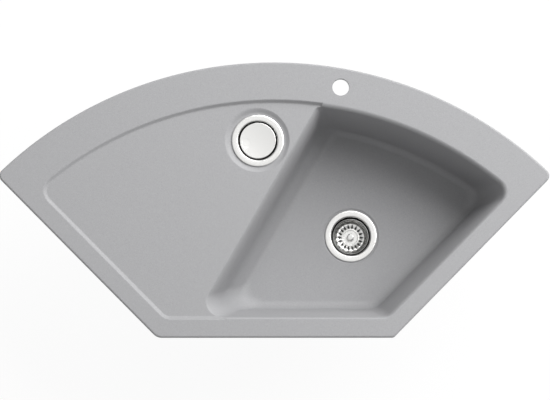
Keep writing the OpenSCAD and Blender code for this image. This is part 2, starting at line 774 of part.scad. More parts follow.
// Nut and tapered washer that seal the link pipe in the tee's arm
module inlet_nut() {
    color(white_plastic)
    at(bowl_waste, 0) along_run(tee_arm - 14) {
        rotate_extrude()
            polygon([[thread_d/2 + 0.2, 0], [nut_d/2 - 2, 0], [nut_d/2 - 1, 1],
                [nut_d/2 - 1, nut_height - 1], [nut_d/2 - 3, nut_height + 1],
                [pipe_d/2 + 0.3, nut_height + 1], [pipe_d/2 + 0.3, nut_height - 3],
                [thread_d/2 + 0.2, nut_height - 3]]);
        for (i = [0:11]) rotate([0, 0, 30*i])
            translate([nut_d/2 - 2, -2, 2]) cube([2, 4, nut_height - 4]);
    }
}

module inlet_washer() {
    color(rubber)
    at(bowl_waste, 0) along_run(tee_arm) rotate_extrude()
        polygon([[pipe_d/2 + 0.05, 0], [collar_r, 0], [collar_r, 1.5], [collar_r - 1, nut_height - 17],
            [pipe_d/2 + 0.05, nut_height - 17]]);
}

module bowl_flange() { color(steel) at(bowl_waste, bowl_seat_z) waste_flange(); }
module bowl_flange_seal() { color(rubber) at(bowl_waste, bowl_seat_z) waste_flange_seal(); }
module bowl_waste_body() { color(white_plastic) at(bowl_waste, bowl_seat_z) waste_body(); }
module bowl_body_seal() { color(rubber) at(bowl_waste, bowl_seat_z) waste_body_seal(); }
module bowl_waste_screw() { color(steel) at(bowl_waste, bowl_seat_z) waste_screw(); }
module bowl_screw_insert() { color(brass) at(bowl_waste, bowl_seat_z) screw_insert(); }
module strainer_basket() { color(steel) at(bowl_waste, bowl_seat_z) basket(); }
module basket_plate() { color(steel) at(bowl_waste, bowl_seat_z) plate(); }
module basket_knob() { color(steel) at(bowl_waste, bowl_seat_z) knob(); }
module basket_seal() { color(rubber) at(bowl_waste, bowl_seat_z) plug_seal(); }
module drainer_flange() { color(steel) at(board_waste, board_seat_z) waste_flange(); }
module drainer_flange_seal() { color(rubber) at(board_waste, board_seat_z) waste_flange_seal(); }
module drainer_waste_body() { color(white_plastic) at(board_waste, board_seat_z) waste_body(); }
module drainer_body_seal() { color(rubber) at(board_waste, board_seat_z) waste_body_seal(); }
module drainer_waste_screw() { color(steel) at(board_waste, board_seat_z) waste_screw(); }
module drainer_screw_insert() { color(brass) at(board_waste, board_seat_z) screw_insert(); }
module drainer_basket() { color(steel) at(board_waste, board_seat_z) basket(); }
module drainer_plate() { color(steel) at(board_waste, board_seat_z) plate(); }
module lid_stem() { color(steel) at(board_waste, board_seat_z) lid_post(); }
module drainer_lid() { color(steel) at(board_waste, board_seat_z) lid(); }
module drainer_seal() { color(rubber) at(board_waste, board_seat_z) plug_seal(); }
module bowl_union_nut() { color(white_plastic) at(bowl_waste, bowl_end) union_nut(); }
module bowl_union_washer() { color(rubber) at(bowl_waste, bowl_end) union_washer(); }
module drainer_union_nut() { color(white_plastic) at(board_waste, drainer_end) union_nut(); }
module drainer_union_washer() { color(rubber) at(board_waste, drainer_end) union_washer(); }

sink_body();
rim_strip();
clamp_arms();
clamp_screws();
clamp_inserts();
bowl_flange();
bowl_flange_seal();
bowl_waste_body();
bowl_body_seal();
bowl_waste_screw();
bowl_screw_insert();
strainer_basket();
basket_plate();
basket_knob();
basket_seal();
drainer_flange();
drainer_flange_seal();
drainer_waste_body();
drainer_body_seal();
drainer_waste_screw();
drainer_screw_insert();
drainer_lid();
drainer_basket();
drainer_plate();
lid_stem();
drainer_seal();
link_pipe();
outlet_tee();
bowl_union_nut();
bowl_union_washer();
drainer_union_nut();
drainer_union_washer();
inlet_nut();
inlet_washer();
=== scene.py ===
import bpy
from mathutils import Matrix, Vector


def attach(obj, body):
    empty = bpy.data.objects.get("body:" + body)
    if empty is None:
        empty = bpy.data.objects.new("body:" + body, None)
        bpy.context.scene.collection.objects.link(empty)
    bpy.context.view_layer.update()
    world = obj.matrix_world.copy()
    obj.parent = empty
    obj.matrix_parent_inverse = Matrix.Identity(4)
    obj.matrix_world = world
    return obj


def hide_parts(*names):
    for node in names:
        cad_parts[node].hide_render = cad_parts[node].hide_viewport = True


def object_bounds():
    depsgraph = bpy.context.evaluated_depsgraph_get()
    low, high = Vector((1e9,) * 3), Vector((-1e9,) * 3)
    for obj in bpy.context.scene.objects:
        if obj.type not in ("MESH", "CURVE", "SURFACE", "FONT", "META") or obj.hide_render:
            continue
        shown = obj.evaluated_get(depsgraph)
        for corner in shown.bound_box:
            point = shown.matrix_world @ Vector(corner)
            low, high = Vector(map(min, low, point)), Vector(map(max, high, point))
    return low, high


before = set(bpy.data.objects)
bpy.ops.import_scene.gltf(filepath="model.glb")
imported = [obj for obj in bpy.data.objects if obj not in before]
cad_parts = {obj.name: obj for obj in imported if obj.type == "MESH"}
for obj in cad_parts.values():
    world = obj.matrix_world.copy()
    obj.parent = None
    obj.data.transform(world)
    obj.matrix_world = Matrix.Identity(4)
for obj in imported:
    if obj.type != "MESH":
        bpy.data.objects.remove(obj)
CAD_BOX = [list(corner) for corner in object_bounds()]

import math

import bpy
import numpy as np
from bpy.props import FloatProperty, FloatVectorProperty, IntProperty, PointerProperty
from mathutils import Matrix, Vector

bl_info = {
    "name": "Corner Sink",
    "version": (1, 0, 0),
    "blender": (4, 5, 0),
    "location": "View3D > Sidebar > Sink",
    "description": "Builds a moulded corner sink with its two basket wastes and their pipes",
    "category": "Add Mesh",
}


# Sizes and finishes that a user may change


def number(name, default, description, **kind):
    """A number, plain or of a kind."""
    return FloatProperty(name=name, default=default, description=description, **kind)


def length(name, default, description):
    """A length in metres."""
    return number(name, default, description, unit="LENGTH")


def turn(name, degrees, description):
    """An angle, given in degrees and held in radians."""
    return number(name, math.radians(degrees), description, subtype="ANGLE")


def share(name, default, description):
    """A number from 0 to 1."""
    return number(name, default, description, subtype="FACTOR", min=0, max=1)


def colour(name, default, description):
    """A linear colour."""
    return FloatVectorProperty(name=name, default=default, description=description, size=3,
                               subtype="COLOR", min=0, max=1)


class MouldingSizes(bpy.types.PropertyGroup):
    """Sizes of the moulded body, in the frame whose origin lies under the middle of the sink"""

    width: length("Width", 1.140, "From tip to tip")
    depth: length("Depth", 0.575, "Front edge to the top of the back arc")
    front_edge: length("Front edge", 0.490, "Length of the straight front edge")
    back_radius: length("Back radius", 0.820, "Radius of the curved back edge")
    rim_base: length("Rim base", 0.0015, "Height of the rim's underside")
    rim_top: length("Rim top", 0.0095, "Height of the rim's top")
    rim_roll: length("Rim roll", 0.0038, "Radius of the rolled outer edge")
    left_margin: length("Left margin", 0.0401, "Width of the rim along the left side")
    right_margin: length("Right margin", 0.0365, "Width of the rim along the right side")
    front_margin: length("Front margin", 0.040, "Width of the rim in front of the bowl")
    back_margin: length("Back margin", 0.0805, "Width of the rim along the curved back")
    tip_radius: length("Tip radius", 0.015, "Radius of the two side tips")
    front_left_radius: length("Front left radius", 0.025, "Radius of that corner")
    front_right_radius: length("Front right radius", 0.009, "Radius of that corner")
    recess_radius: length("Recess radius", 0.030, "Radius of the recess's corners")
    board_step: length("Step", 0.007, "Drop from the rim to the drainboard at the bowl")
    board_fall: number("Fall", 0.8, "Fall of the drainboard towards the bowl", subtype="PERCENTAGE")
    board_thick: length("Drainboard", 0.009, "Thickness of the drainboard")
    wall: length("Wall", 0.009, "Thickness of the bowl's walls")
    bowl_depth: length("Bowl depth", 0.190, "Depth of the bowl below the rim")
    divider_x: length("Divider", -0.182, "Where the bowl's left edge meets the front line")
    divider_angle: turn("Divider angle", 60, "Angle of the bowl's left edge")
    bowl_corner: length("Bowl corner", 0.032, "Radius of the bowl's corners")
    bowl_heel: length("Bowl heel", 0.011, "Radius of the corner at the drainboard's end")
    slope_in: length("Slope inside", 0.0058, "Run of the recess's slope inside its line")
    slope_out: length("Slope outside", 0.0035, "Run of that slope outside its line")
    flare: length("Flare", 0.0145, "Run of the flare along the bowl's left edge")
    tap_hole: length("Tap hole", 0.035, "Diameter of the tap hole")
    tap_inset: length("Tap inset", 0.040, "Distance of the tap hole from the back edge")
    tap_turn: turn("Tap turn", 79.8, "Direction of the tap hole from the back arc's centre")
    waste_hole: length("Waste hole", 0.090, "Diameter of the waste holes")
    dish: length("Dish", 0.136, "Diameter of the dish round the drainboard's waste")
    dish_depth: length("Dish depth", 0.005, "Depth of that dish")
    dish_to_bowl: length("Dish to bowl", 0.078, "From that waste's middle to the bowl's edge")
    dish_to_back: length("Dish to back", 0.0815, "From that waste's middle to the recess's back")
    seat: length("Seat", 0.124, "Diameter of the seat round the bowl's waste")
    seat_depth: length("Seat depth", 0.003, "Depth of that seat")
    bowl_waste_x: length("Bowl waste", 0.166, "Place of the bowl's waste, right of the middle")
    bowl_waste_forward: length("Bowl waste forward", 0.0225, "Its place in front of the bowl's middle")


class WasteSizes(bpy.types.PropertyGroup):
    """Sizes of the wastes and strainers, measured from the moulding's seat"""

    flange: length("Flange", 0.108, "Diameter of the flanges")
    cup: length("Cup", 0.0806, "Bore of the flange's cup")
    cup_depth: length("Cup depth", 0.026, "Depth of the cup's floor")
    throat: length("Throat", 0.010, "Depth of the throat below the cup's floor")
    basket: length("Basket", 0.0746, "Diameter of the baskets' rims")
    plate: length("Plate", 0.038, "Diameter of the plate on the basket's floor")
    knob: length("Knob", 0.014, "Diameter of the knob")
    knob_height: length("Knob height", 0.012, "Height of the knob above its plate")
    lid: length("Lid", 0.0742, "Diameter of the lid")
    lid_dish: length("Lid dish", 0.0009, "Depth of the lid's dished top")
    thumb: length("Thumb hollow", 0.020, "Diameter of the hollow in the lid")
    thumb_turn: turn("Thumb turn", 192, "Direction of that hollow from the right")
    slots: IntProperty(name="Slots", description="Slots in a basket", default=18, min=8, max=36)


class Finishes(bpy.types.PropertyGroup):
    """Colours and roughness of the materials"""

    stone: colour("Stone", (0.310, 0.310, 0.3175), "Colour of the moulding")
    stone_roughness: share("Stone roughness", 0.52, "Roughness of the moulding")
    steel: colour("Steel", (0.68, 0.677, 0.665), "Colour of the stainless steel")
    steel_roughness: share("Steel roughness", 0.27, "Roughness of the steel")
    plastic: colour("Plastic", (0.56, 0.56, 0.545), "Colour of the waste bodies and pipes")
    rubber: colour("Rubber", (0.025, 0.025, 0.027), "Colour of the seals")
    brass: colour("Brass", (0.60, 0.42, 0.17), "Colour of the inserts")
    zinc: colour("Zinc", (0.50, 0.51, 0.52), "Colour of the clamps")


class StageSettings(bpy.types.PropertyGroup):
    """Camera and light"""

    lean_x: number("Lean sideways", -0.040, "Camera's offset in X for one up")
    lean_y: number("Lean forwards", -0.130, "Camera's offset in Y for one up")
    distance: length("Distance", 25.0, "Distance of the camera")
    view_width: length("View width", 1.139, "Width of the view at the rim")
    aim_x: length("Aim sideways", 0.0004, "X of the point at the picture's middle")
    aim_y: length("Aim forwards", -0.0008, "Y of the point at the picture's middle")
    key: number("Key", 490.0, "Power of the soft lamp at the back right", subtype="POWER")
    key_size: length("Key size", 5.2, "Width of that lamp")
    sky: share("Sky", 0.47, "Strength of the even light all round")
    haze: share("Haze", 0.30, "Strength that reflections see at the horizon")


# Plan geometry


def unit(degrees):
    """Unit vectors at these angles: (cos a, sin a)."""
    a = np.radians(degrees)
    return np.stack([np.cos(a), np.sin(a)], -1)


def heading(v):
    """Angle of a vector in degrees: atan2(y, x)."""
    return math.degrees(math.atan2(v[1], v[0]))


def inward(side, hand, e):
    """Point of a side after it has moved inwards by e: p + hand e (sin a, -cos a)."""
    a = math.radians(side[2])
    return np.array([side[0] + hand * e * math.sin(a), side[1] - hand * e * math.cos(a)])


def moved(side, hand, e):
    """The side itself, moved inwards by e."""
    return (*inward(side, hand, e), side[2])


def crossing(side, hand, e, level):
    """Where the side, moved inwards by e, crosses y = level."""
    p = inward(side, hand, e)
    return p + unit(side[2]) * (level - p[1]) / math.sin(math.radians(side[2]))


def arc(centre, radius, start, end, steps):
    """Points centre + radius (cos t, sin t) for t from start to end in equal steps."""
    return centre + radius * unit(np.linspace(start, end, steps + 1))


def circle(centre, radius, steps):
    """Points of a whole circle."""
    return arc(np.asarray(centre), radius, 0, 360, steps)[:-1]


def line(a, b, steps):
    """Points between a and b, without the two ends: a + (b - a) t."""
    t = np.linspace(0, 1, steps + 1)[1:-1, None]
    return a + (b - a) * t


def smooth(t):
    """Smooth step from 0 to 1: t^2 (3 - 2 t)."""
    return t * t * (3 - 2 * t)


def quarter(radius, end, steps):
    """Pairs radius (1 - cos a), radius (1 - sin a) for a from 0 to end degrees: a rounded edge."""
    return radius * (1 - unit(np.linspace(0, end, steps)))


# Points on a corner, on a straight side and on the back arc of an outline
CORNER_STEPS = 18
SIDE_STEPS = 14
BACK_STEPS = 110
# Distance and turn, from the bowl's left edge, of the line over the bowl where the recess's hollow ends
RECESS_END = (0.060, 5.5)
# How far the drainboard's underside laps over the bowl's edge
BOARD_LAP = 0.014
# Distance of the clamps' bosses, and of the rib, from the sink's edge
BOSS_INSET = 0.023
RIB_INSET = 0.019


class Plan:
    """The sink's plan: a straight front, two slanting sides and a back arc about one centre."""

    def __init__(self, s):
        self.s = s
        self.front = -s.depth / 2
        self.centre = np.array([0.0, s.depth / 2 - s.back_radius])
        tip = np.array([s.width / 2 - s.tip_radius, 0.0])
        tip[1] = self.centre[1] + math.sqrt((s.back_radius - s.tip_radius) ** 2 - tip[0] ** 2)
        reach = tip - np.array([s.front_edge / 2, self.front])
        self.reach = np.hypot(*reach)
        slope = heading(reach) - math.degrees(math.asin(s.tip_radius / self.reach))
        self.tip_angle = heading(tip - self.centre)
        self.left = (-s.front_edge / 2, self.front, 180 - slope)
        self.right = (s.front_edge / 2, self.front, slope)
        self.divider = (s.divider_x, self.front, math.degrees(s.divider_angle))
        self.recess_left = moved(self.left, 1, s.left_margin)
        self.recess_right = moved(self.right, -1, s.right_margin)
        self.recess_front = self.front + s.front_margin
        self.recess_back = s.back_radius - s.back_margin
        self.recess_end = (s.divider_x + RECESS_END[0], self.front, self.divider[2] + RECESS_END[1])

    def meeting(self, side, hand, e, r):
        """Where the side, moved inwards by e, lies r from the back's centre: the larger root of
        |p + t u|^2 = r^2."""
        p = inward(side, hand, e) - self.centre
        u = unit(side[2])
        w = p @ u
        return self.centre + p + u * (-w + math.sqrt(w * w - p @ p + r * r))

    def outline(self, front, left, right, back, e, radii):
        """Closed outline moved inwards by e: four arcs of these radii (front left, front right, back
        right, back left), tangent to the straight sides and to the back arc."""
        a, b, c, d = [max(r, 1e-4) for r in radii]
        fl = crossing(left, 1, e + a, front + e + a)
        fr = crossing(right, -1, e + b, front + e + b)
        br = self.meeting(right, -1, e + c, back - e - c)
        bl = self.meeting(left, 1, e + d, back - e - d)
        start, end = heading(br - self.centre), heading(bl - self.centre)
        one = arc(fl, a, left[2] + 90, 270, CORNER_STEPS)
        two = arc(fr, b, 270, right[2] + 270, CORNER_STEPS)
        three = arc(br, c, right[2] - 90, start, CORNER_STEPS)
        four = arc(bl, d, end, left[2] + 90, CORNER_STEPS)
        top = arc(self.centre, back - e, start, end, BACK_STEPS)[1:-1]
        return np.concatenate([one, line(one[-1], two[0], SIDE_STEPS), two,
                               line(two[-1], three[0], SIDE_STEPS), three, top, four,
                               line(four[-1], one[0], SIDE_STEPS)])

    def rim(self, e):
        """Outer outline of the rim, moved inwards by e."""
        s = self.s
        radii = (s.front_left_radius, s.front_right_radius, s.tip_radius, s.tip_radius)
        return self.outline(self.front, self.left, self.right, s.back_radius, e, [r - e for r in radii])

    def recess(self, e):
        """Outline of the recess round the drainboard, moved inwards by e, which ends over the bowl."""
        r = self.s.recess_radius - e
        return self.outline(self.recess_front, self.recess_left, moved(self.recess_end, -1, -e),
                            self.recess_back, e, [r, 0.001, 0.001, r])

    def board(self, e, r):
        """Outline of the drainboard's underside, which laps a little way over the bowl's edge."""
        return self.outline(self.recess_front, self.recess_left, moved(self.divider, -1, -BOARD_LAP),
                            self.recess_back, e, [r, r, self.s.bowl_heel, r])

    def bowl(self, left, front, right, back, growth=0, drawn=0):
        """Outline of the bowl, moved inwards by these lengths at its four sides. growth adds to its
        heel's radius, and drawn comes off the two right corners' radii."""
        r = self.s.bowl_corner
        return self.outline(self.recess_front + front - left, self.divider,
                            moved(self.recess_right, -1, right - left),
                            self.recess_back - back + left, left,
                            [r, r - drawn, r - 0.002 - drawn, self.s.bowl_heel + growth])

    def board_level(self, p):
        """Height of the drainboard at plan points: rim top - step + fall times the distance from the
        bowl's edge, (x0 - x) sin a + (y - y0) cos a."""
        s = self.s
        across, along = unit(self.divider[2])[::-1]
        away = (self.divider[0] - p[:, 0]) * across + (p[:, 1] - self.divider[1]) * along
        return s.rim_top - s.board_step + s.board_fall / 100 * away

    def board_waste(self):
        """Centre of the drainboard's waste."""
        s = self.s
        return self.meeting(self.divider, -1, s.dish_to_bowl, self.recess_back - s.dish_to_back)

    def bowl_waste(self):
        """Centre of the bowl's waste."""
        x = self.s.bowl_waste_x
        back = self.centre[1] + math.sqrt(self.recess_back ** 2 - x * x)
        return np.array([x, (self.recess_front + back) / 2 - self.s.bowl_waste_forward])

    def tap(self):
        """Centre of the tap hole, on the back rim to the right of the middle."""
        return self.centre + (self.s.back_radius - self.s.tap_inset) * unit(math.degrees(self.s.tap_turn))

    def along_back(self, part):
        """Direction, in degrees, of a place on the back arc, as a part of it from right to left."""
        return self.tip_angle + part * (180 - 2 * self.tip_angle)


def raised(plan, z):
    """Ring of 3D points over a plan outline, at one height or at one height for each point."""
    return np.column_stack([plan, np.broadcast_to(z, len(plan))])


# Meshes


def new_object(name, verts, faces, smooth_faces=True):
    """Object at the origin from arrays of points and faces."""
    mesh = bpy.data.meshes.new(name)
    mesh.from_pydata(np.asarray(verts, float), [], faces)
    mesh.polygons.foreach_set("use_smooth", np.full(len(mesh.polygons), smooth_faces))
    mesh.update()
    thing = bpy.data.objects.new(name, mesh)
    bpy.context.scene.collection.objects.link(thing)
    return thing


def ring_faces(rows, columns, closed_rows=False):
    """Quads between neighbouring rings of a rows by columns grid that closes on itself in columns."""
    i = np.arange(columns)
    j = (i + 1) % columns
    k = np.arange(rows if closed_rows else rows - 1)[:, None]
    m = (k + 1) % rows
    quads = np.stack([k * columns + i, k * columns + j, m * columns + j, m * columns + i], -1)
    return quads.reshape(-1, 4).tolist()


def solid(name, rings):
    """Closed solid through rings of points, listed from the lowest to the highest, with flat ends."""
    rings = np.asarray(rings)
    rows, columns = rings.shape[:2]
    faces = ring_faces(rows, columns)
    faces.append(list(range(columns))[::-1])
    faces.append(list(range((rows - 1) * columns, rows * columns)))
    return new_object(name, rings.reshape(-1, 3), faces)


def round_solid(name, centre, sizes, steps=120):
    """Closed solid through circles, each given by its radius and height."""
    return solid(name, [raised(circle(centre, r, steps), z) for r, z in sizes])


def drum(name, centre, low, high, radius, steps=96):
    """Upright cylinder between two heights."""
    return round_solid(name, centre, [(radius, low), (radius, high)], steps)


def poled(name, rings, first, last):
    """Closed mesh through rings of points, with a fan to one point at each end."""
    rows, columns = rings.shape[:2]
    i = np.arange(columns)
    j = (i + 1) % columns
    base, count = (rows - 1) * columns, rows * columns
    fans = [np.stack([j, i, np.full(columns, count)], -1),
            np.stack([base + i, base + j, np.full(columns, count + 1)], -1)]
    faces = ring_faces(rows, columns) + np.concatenate(fans).tolist()
    return facing_out(new_object(name, np.concatenate([rings.reshape(-1, 3), [first, last]]), faces))


def looped(name, rings):
    """Closed mesh through rings of points, the last of which joins the first."""
    rows, columns = rings.shape[:2]
    return facing_out(new_object(name, rings.reshape(-1, 3), ring_faces(rows, columns, True)))


def lathe(name, profile, centre, steps):
    """Solid of revolution: (r cos t, r sin t, z) for every point (r, z) of a closed profile that keeps
    clear of the axis, or of an open one that starts and ends on it, whose ends become single poles."""
    ring = circle((0, 0), 1, steps)
    rings = np.array([raised(r * ring, z) for r, z in profile]) + centre
    if profile[0][0] > 0:
        return looped(name, rings)
    return poled(name, rings[1:-1], rings[0, 0], rings[-1, 0])


def facing_out(thing):
    """Turns a closed mesh the right way out, by the sign of its volume, and returns it."""
    mesh = thing.data
    mesh.calc_loop_triangles()
    corners = np.empty(len(mesh.loop_triangles) * 3, np.int32)
    mesh.loop_triangles.foreach_get("vertices", corners)
    a, b, c = points_of(mesh)[corners.reshape(-1, 3)].transpose(1, 0, 2)
    if np.einsum("ij,ij->i", a, np.cross(b, c)).sum() < 0:
        mesh.flip_normals()
    return thing


def points_of(mesh):
    """Array of a mesh's points."""
    points = np.empty(len(mesh.vertices) * 3)
    mesh.vertices.foreach_get("co", points)
    return points.reshape(-1, 3)


def rounded(points, radii, steps=5):
    """Profile whose corners are replaced by arcs: at a corner p between directions u and v the arc runs
    from p + d u to p + d v, with d = r / tan(half the angle)."""
    points = np.asarray(points, float)
    out = []
    for i, (p, r) in enumerate(zip(points, radii)):
        before, after = points[i - 1] - p, points[(i + 1) % len(points)] - p
        u, v = before / np.hypot(*before), after / np.hypot(*after)
        half = math.acos(np.clip(u @ v, -1, 1)) / 2
        if r <= 0 or half > math.pi / 2 - 0.02:
            out.append([p])
            continue
        reach = min(r / math.tan(half), 0.49 * np.hypot(*before), 0.49 * np.hypot(*after))
        radius = reach * math.tan(half)
        centre = p + (u + v) / np.hypot(*(u + v)) * radius / math.sin(half)
        start = heading(p + u * reach - centre)
        sweep = (heading(p + v * reach - centre) - start + 180) % 360 - 180
        out.append(arc(centre, radius, start, start + sweep, steps))
    return np.concatenate(out)


def joined(things, name):
    """One object from several that don't touch."""
    points, faces, count = [], [], 0
    for thing in things:
        mesh = thing.data
        points.append(points_of(mesh))
        faces += [[v + count for v in f.vertices] for f in mesh.polygons]
        count += len(mesh.vertices)
        remove(thing)
    return new_object(name, np.concatenate(points), faces)


def remove(thing):
    """Deletes an object and its mesh."""
    mesh = thing.data
    bpy.data.objects.remove(thing)
    bpy.data.meshes.remove(mesh)


def combine(base, steps):
    """Carries out union and difference steps on base in order and returns it with a plain mesh."""
    for operation, tool in steps:
        modifier = base.modifiers.new(operation.title(), "BOOLEAN")
        modifier.operation = operation
        modifier.solver = "MANIFOLD"
        modifier.object = tool
    bpy.context.view_layer.update()
    graph = bpy.context.evaluated_depsgraph_get()
    mesh = bpy.data.meshes.new_from_object(base.evaluated_get(graph))
    old = base.data
    base.modifiers.clear()
    base.data = mesh
    mesh.name = base.name
    bpy.data.meshes.remove(old)
    for _, tool in steps:
        remove(tool)
    return base


def shade(thing, degrees=40, weighted=False):
    """Smooth shading with sharp edges past an angle, and where asked normals weighted by face area."""
    mesh = thing.data
    mesh.polygons.foreach_set("use_smooth", np.ones(len(mesh.polygons), bool))
    mesh.set_sharp_from_angle(angle=math.radians(degrees))
    if weighted:
        modifier = thing.modifiers.new("Weighted", "WEIGHTED_NORMAL")
        modifier.keep_sharp = True
        modifier.weight = 60


# Shader nodes


def feed(tree, target, value):
    """Gives an input a socket to read or a plain value."""
    if isinstance(value, bpy.types.NodeSocket):
        tree.links.new(value, target)
    else:
        target.default_value = value


def node(tree, kind, inputs, **settings):
    """New shader node with these settings and inputs."""
    made = tree.nodes.new("ShaderNode" + kind)
    for name, value in settings.items():
        setattr(made, name, value)
    for name, value in inputs.items():
        feed(tree, made.inputs[name], value)
    return made


def maths(tree, operation, *inputs):
    """Result of a Math node."""
    return node(tree, "Math", dict(enumerate(inputs)), operation=operation).outputs[0]


def noise(tree, vector, scale, detail, roughness):
    """Value of a Noise Texture."""
    inputs = {"Vector": vector, "Scale": scale, "Detail": detail, "Roughness": roughness}
    return node(tree, "TexNoise", inputs).outputs["Fac"]


def ramp(tree, value, ends, **settings):
    """Result of a Map Range node, whose ends are given as from min, from max, to min and to max."""
    inputs = dict(zip(("From Min", "From Max", "To Min", "To Max"), ends))
    return node(tree, "MapRange", {"Value": value, **inputs}, **settings).outputs["Result"]


def new_group(name, inputs, outputs):
    """Node group with a Vector input, these number inputs and these number outputs, with the sockets to
    read and to feed inside it."""
    group = bpy.data.node_groups.new(name, "ShaderNodeTree")
    group.interface.new_socket(name="Vector", in_out="INPUT", socket_type="NodeSocketVector")
    for label, default in inputs.items():
        made = group.interface.new_socket(name=label, in_out="INPUT", socket_type="NodeSocketFloat")
        made.default_value = default
    for label in outputs:
        group.interface.new_socket(name=label, in_out="OUTPUT", socket_type="NodeSocketFloat")
    return group, group.nodes.new("NodeGroupInput").outputs, group.nodes.new("NodeGroupOutput").inputs


def stone_grain(name):
    """Grain of a stone composite: fine quartz flecks, light and dark, over a slow cloud of tone.
    Tone = cloud + light flecks - dark flecks; Height = fine noise plus the flecks' distance."""
    group, come, go = new_group(name, {"Cloud": 0.05, "Fleck": 0.16}, ("Tone", "Height"))
    vector = come["Vector"]
    cloud = noise(group, vector, 9.0, 3.0, 0.55)
    grit = noise(group, vector, 1500.0, 2.0, 0.6)
    cells = node(group, "TexVoronoi", {"Vector": vector, "Scale": 1100.0}).outputs
    pick = node(group, "SeparateColor", {0: cells["Color"]}).outputs
    light = maths(group, "GREATER_THAN", pick[0], 0.86)
    dark = maths(group, "GREATER_THAN", pick[1], 0.84)
    fleck = maths(group, "MULTIPLY", maths(group, "SUBTRACT", light, dark), come["Fleck"])
    slow = maths(group, "MULTIPLY", maths(group, "SUBTRACT", cloud, 0.5), come["Cloud"])
    fine = maths(group, "MULTIPLY", maths(group, "SUBTRACT", grit, 0.5), 0.12)
    feed(group, go["Tone"], maths(group, "ADD", maths(group, "ADD", fleck, slow), fine))
    feed(group, go["Height"], maths(group, "MULTIPLY_ADD", cells["Distance"], 0.6, grit))
    return group


def turning_marks(name):
    """Fine turning marks round an axis: noise of the distance from it, stretched along the circle.
    Mark = noise(r, z); Streak = noise of the angle and r, for the small breaks in the marks."""
    group, come, go = new_group(name, {}, ("Mark", "Streak"))
    x, y, z = node(group, "SeparateXYZ", {0: come["Vector"]}).outputs
    squares = maths(group, "MULTIPLY_ADD", x, x, maths(group, "MULTIPLY", y, y))
    r = maths(group, "SQRT", squares)
    t = maths(group, "ARCTAN2", y, x)
    place = node(group, "CombineXYZ", {0: r, 1: z}).outputs[0]
    around = {0: maths(group, "MULTIPLY", r, 1500.0)}
    for axis, wave in ((1, "COSINE"), (2, "SINE")):
        around[axis] = maths(group, "MULTIPLY", maths(group, wave, t), 3.0)
    feed(group, go["Mark"], noise(group, place, 2600.0, 2.0, 0.6))
    feed(group, go["Streak"], noise(group, node(group, "CombineXYZ", around).outputs[0], 1.0, 3.0, 0.6))
    return group


def moulded_skin(name):
    """Skin of a moulded plastic or rubber piece: a slow unevenness and a fine matt texture."""
    group, come, go = new_group(name, {}, ("Tone", "Height"))
    feed(group, go["Tone"], noise(group, come["Vector"], 30.0, 3.0, 0.5))
    feed(group, go["Height"], noise(group, come["Vector"], 900.0, 2.0, 0.6))
    return group


def shared(tree, name, build, inputs):
    """Outputs of a node that holds a shared group, which is built on first use."""
    group = bpy.data.node_groups.get(name) or build(name)
    return node(tree, "Group", inputs, node_tree=group).outputs


def new_material(name):
    """Material with its tree, its Principled BSDF and its Object coordinates."""
    material = bpy.data.materials.new(name)
    material.use_nodes = True
    tree = material.node_tree
    place = node(tree, "TexCoord", {}).outputs["Object"]
    return material, tree, tree.nodes["Principled BSDF"], place


def tinted(tree, base, tone, low, high):
    """Colour that runs from low to high times the base as tone goes from 0 to 1."""
    ends = {"A": [c * low for c in base] + [1], "B": [min(1, c * high) for c in base] + [1]}
    return node(tree, "Mix", {"Factor": tone, **ends}, data_type="RGBA").outputs["Result"]


def surface(tree, shader, base, rough, height, distance, metallic=0.0):
    """Feeds a shader's colour, roughness and metalness, and its Normal from a Bump node."""
    bumps = node(tree, "Bump", {"Height": height, "Distance": distance, "Strength": 1.0})
    inputs = {"Base Color": base, "Roughness": rough, "Metallic": metallic,
              "Normal": bumps.outputs["Normal"]}
    for name, value in inputs.items():
        feed(tree, shader.inputs[name], value)


def stone_material(finish):
    """Matt composite of quartz and resin, with fine flecks."""
    material, tree, shader, place = new_material("quartz_composite")
    grain = shared(tree, "Stone Grain", stone_grain, {"Vector": place, "Cloud": 0.05, "Fleck": 0.24})
    tone = maths(tree, "ADD", grain["Tone"], 0.5)
    rough = maths(tree, "MULTIPLY_ADD", grain["Tone"], -0.16, finish.stone_roughness)
    surface(tree, shader, tinted(tree, finish.stone, tone, 0.80, 1.20), rough, grain["Height"], 0.00004)
    shader.inputs["Specular IOR Level"].default_value = 0.35
    return material


def steel_material(name, finish, centre, roughness, painted_shade=(0.0, 1.0, 1.0, 1.0)):
    """Stainless steel turned about a centre. With painted_shade as (z0, z1, share0, share1), its colour is
    scaled by share0 up to the height z0 above the centre and by share1 from the height z1: painted shade in
    the hollow parts of a piece."""
    material, tree, shader, place = new_material(name)
    place = node(tree, "Mapping", {"Vector": place, "Location": [-c for c in centre]}).outputs[0]
    turned = shared(tree, "Turning Marks", turning_marks, {"Vector": place})
    height = node(tree, "SeparateXYZ", {0: place}).outputs["Z"]
    base = tinted(tree, finish.steel, turned["Streak"], 0.96, 1.04)
    # Painted shade: the steel's colour scaled by height
    scaled = node(tree, "VectorMath", {0: base, "Scale": ramp(tree, height, painted_shade)}, operation="SCALE")
    mark = turned["Mark"]
    rough = maths(tree, "MULTIPLY_ADD", maths(tree, "SUBTRACT", mark, 0.5), 0.06, roughness)
    surface(tree, shader, scaled.outputs[0], rough, mark, 0.000005, 1.0)
    return material


# Lightest and darkest tone, spread and start of the roughness, and depth of the skin
METAL_SKIN = (0.85, 1.12, 0.25, -0.12, 0.00002)
SOFT_SKIN = (0.93, 1.06, 0.14, -0.07, 0.00003)


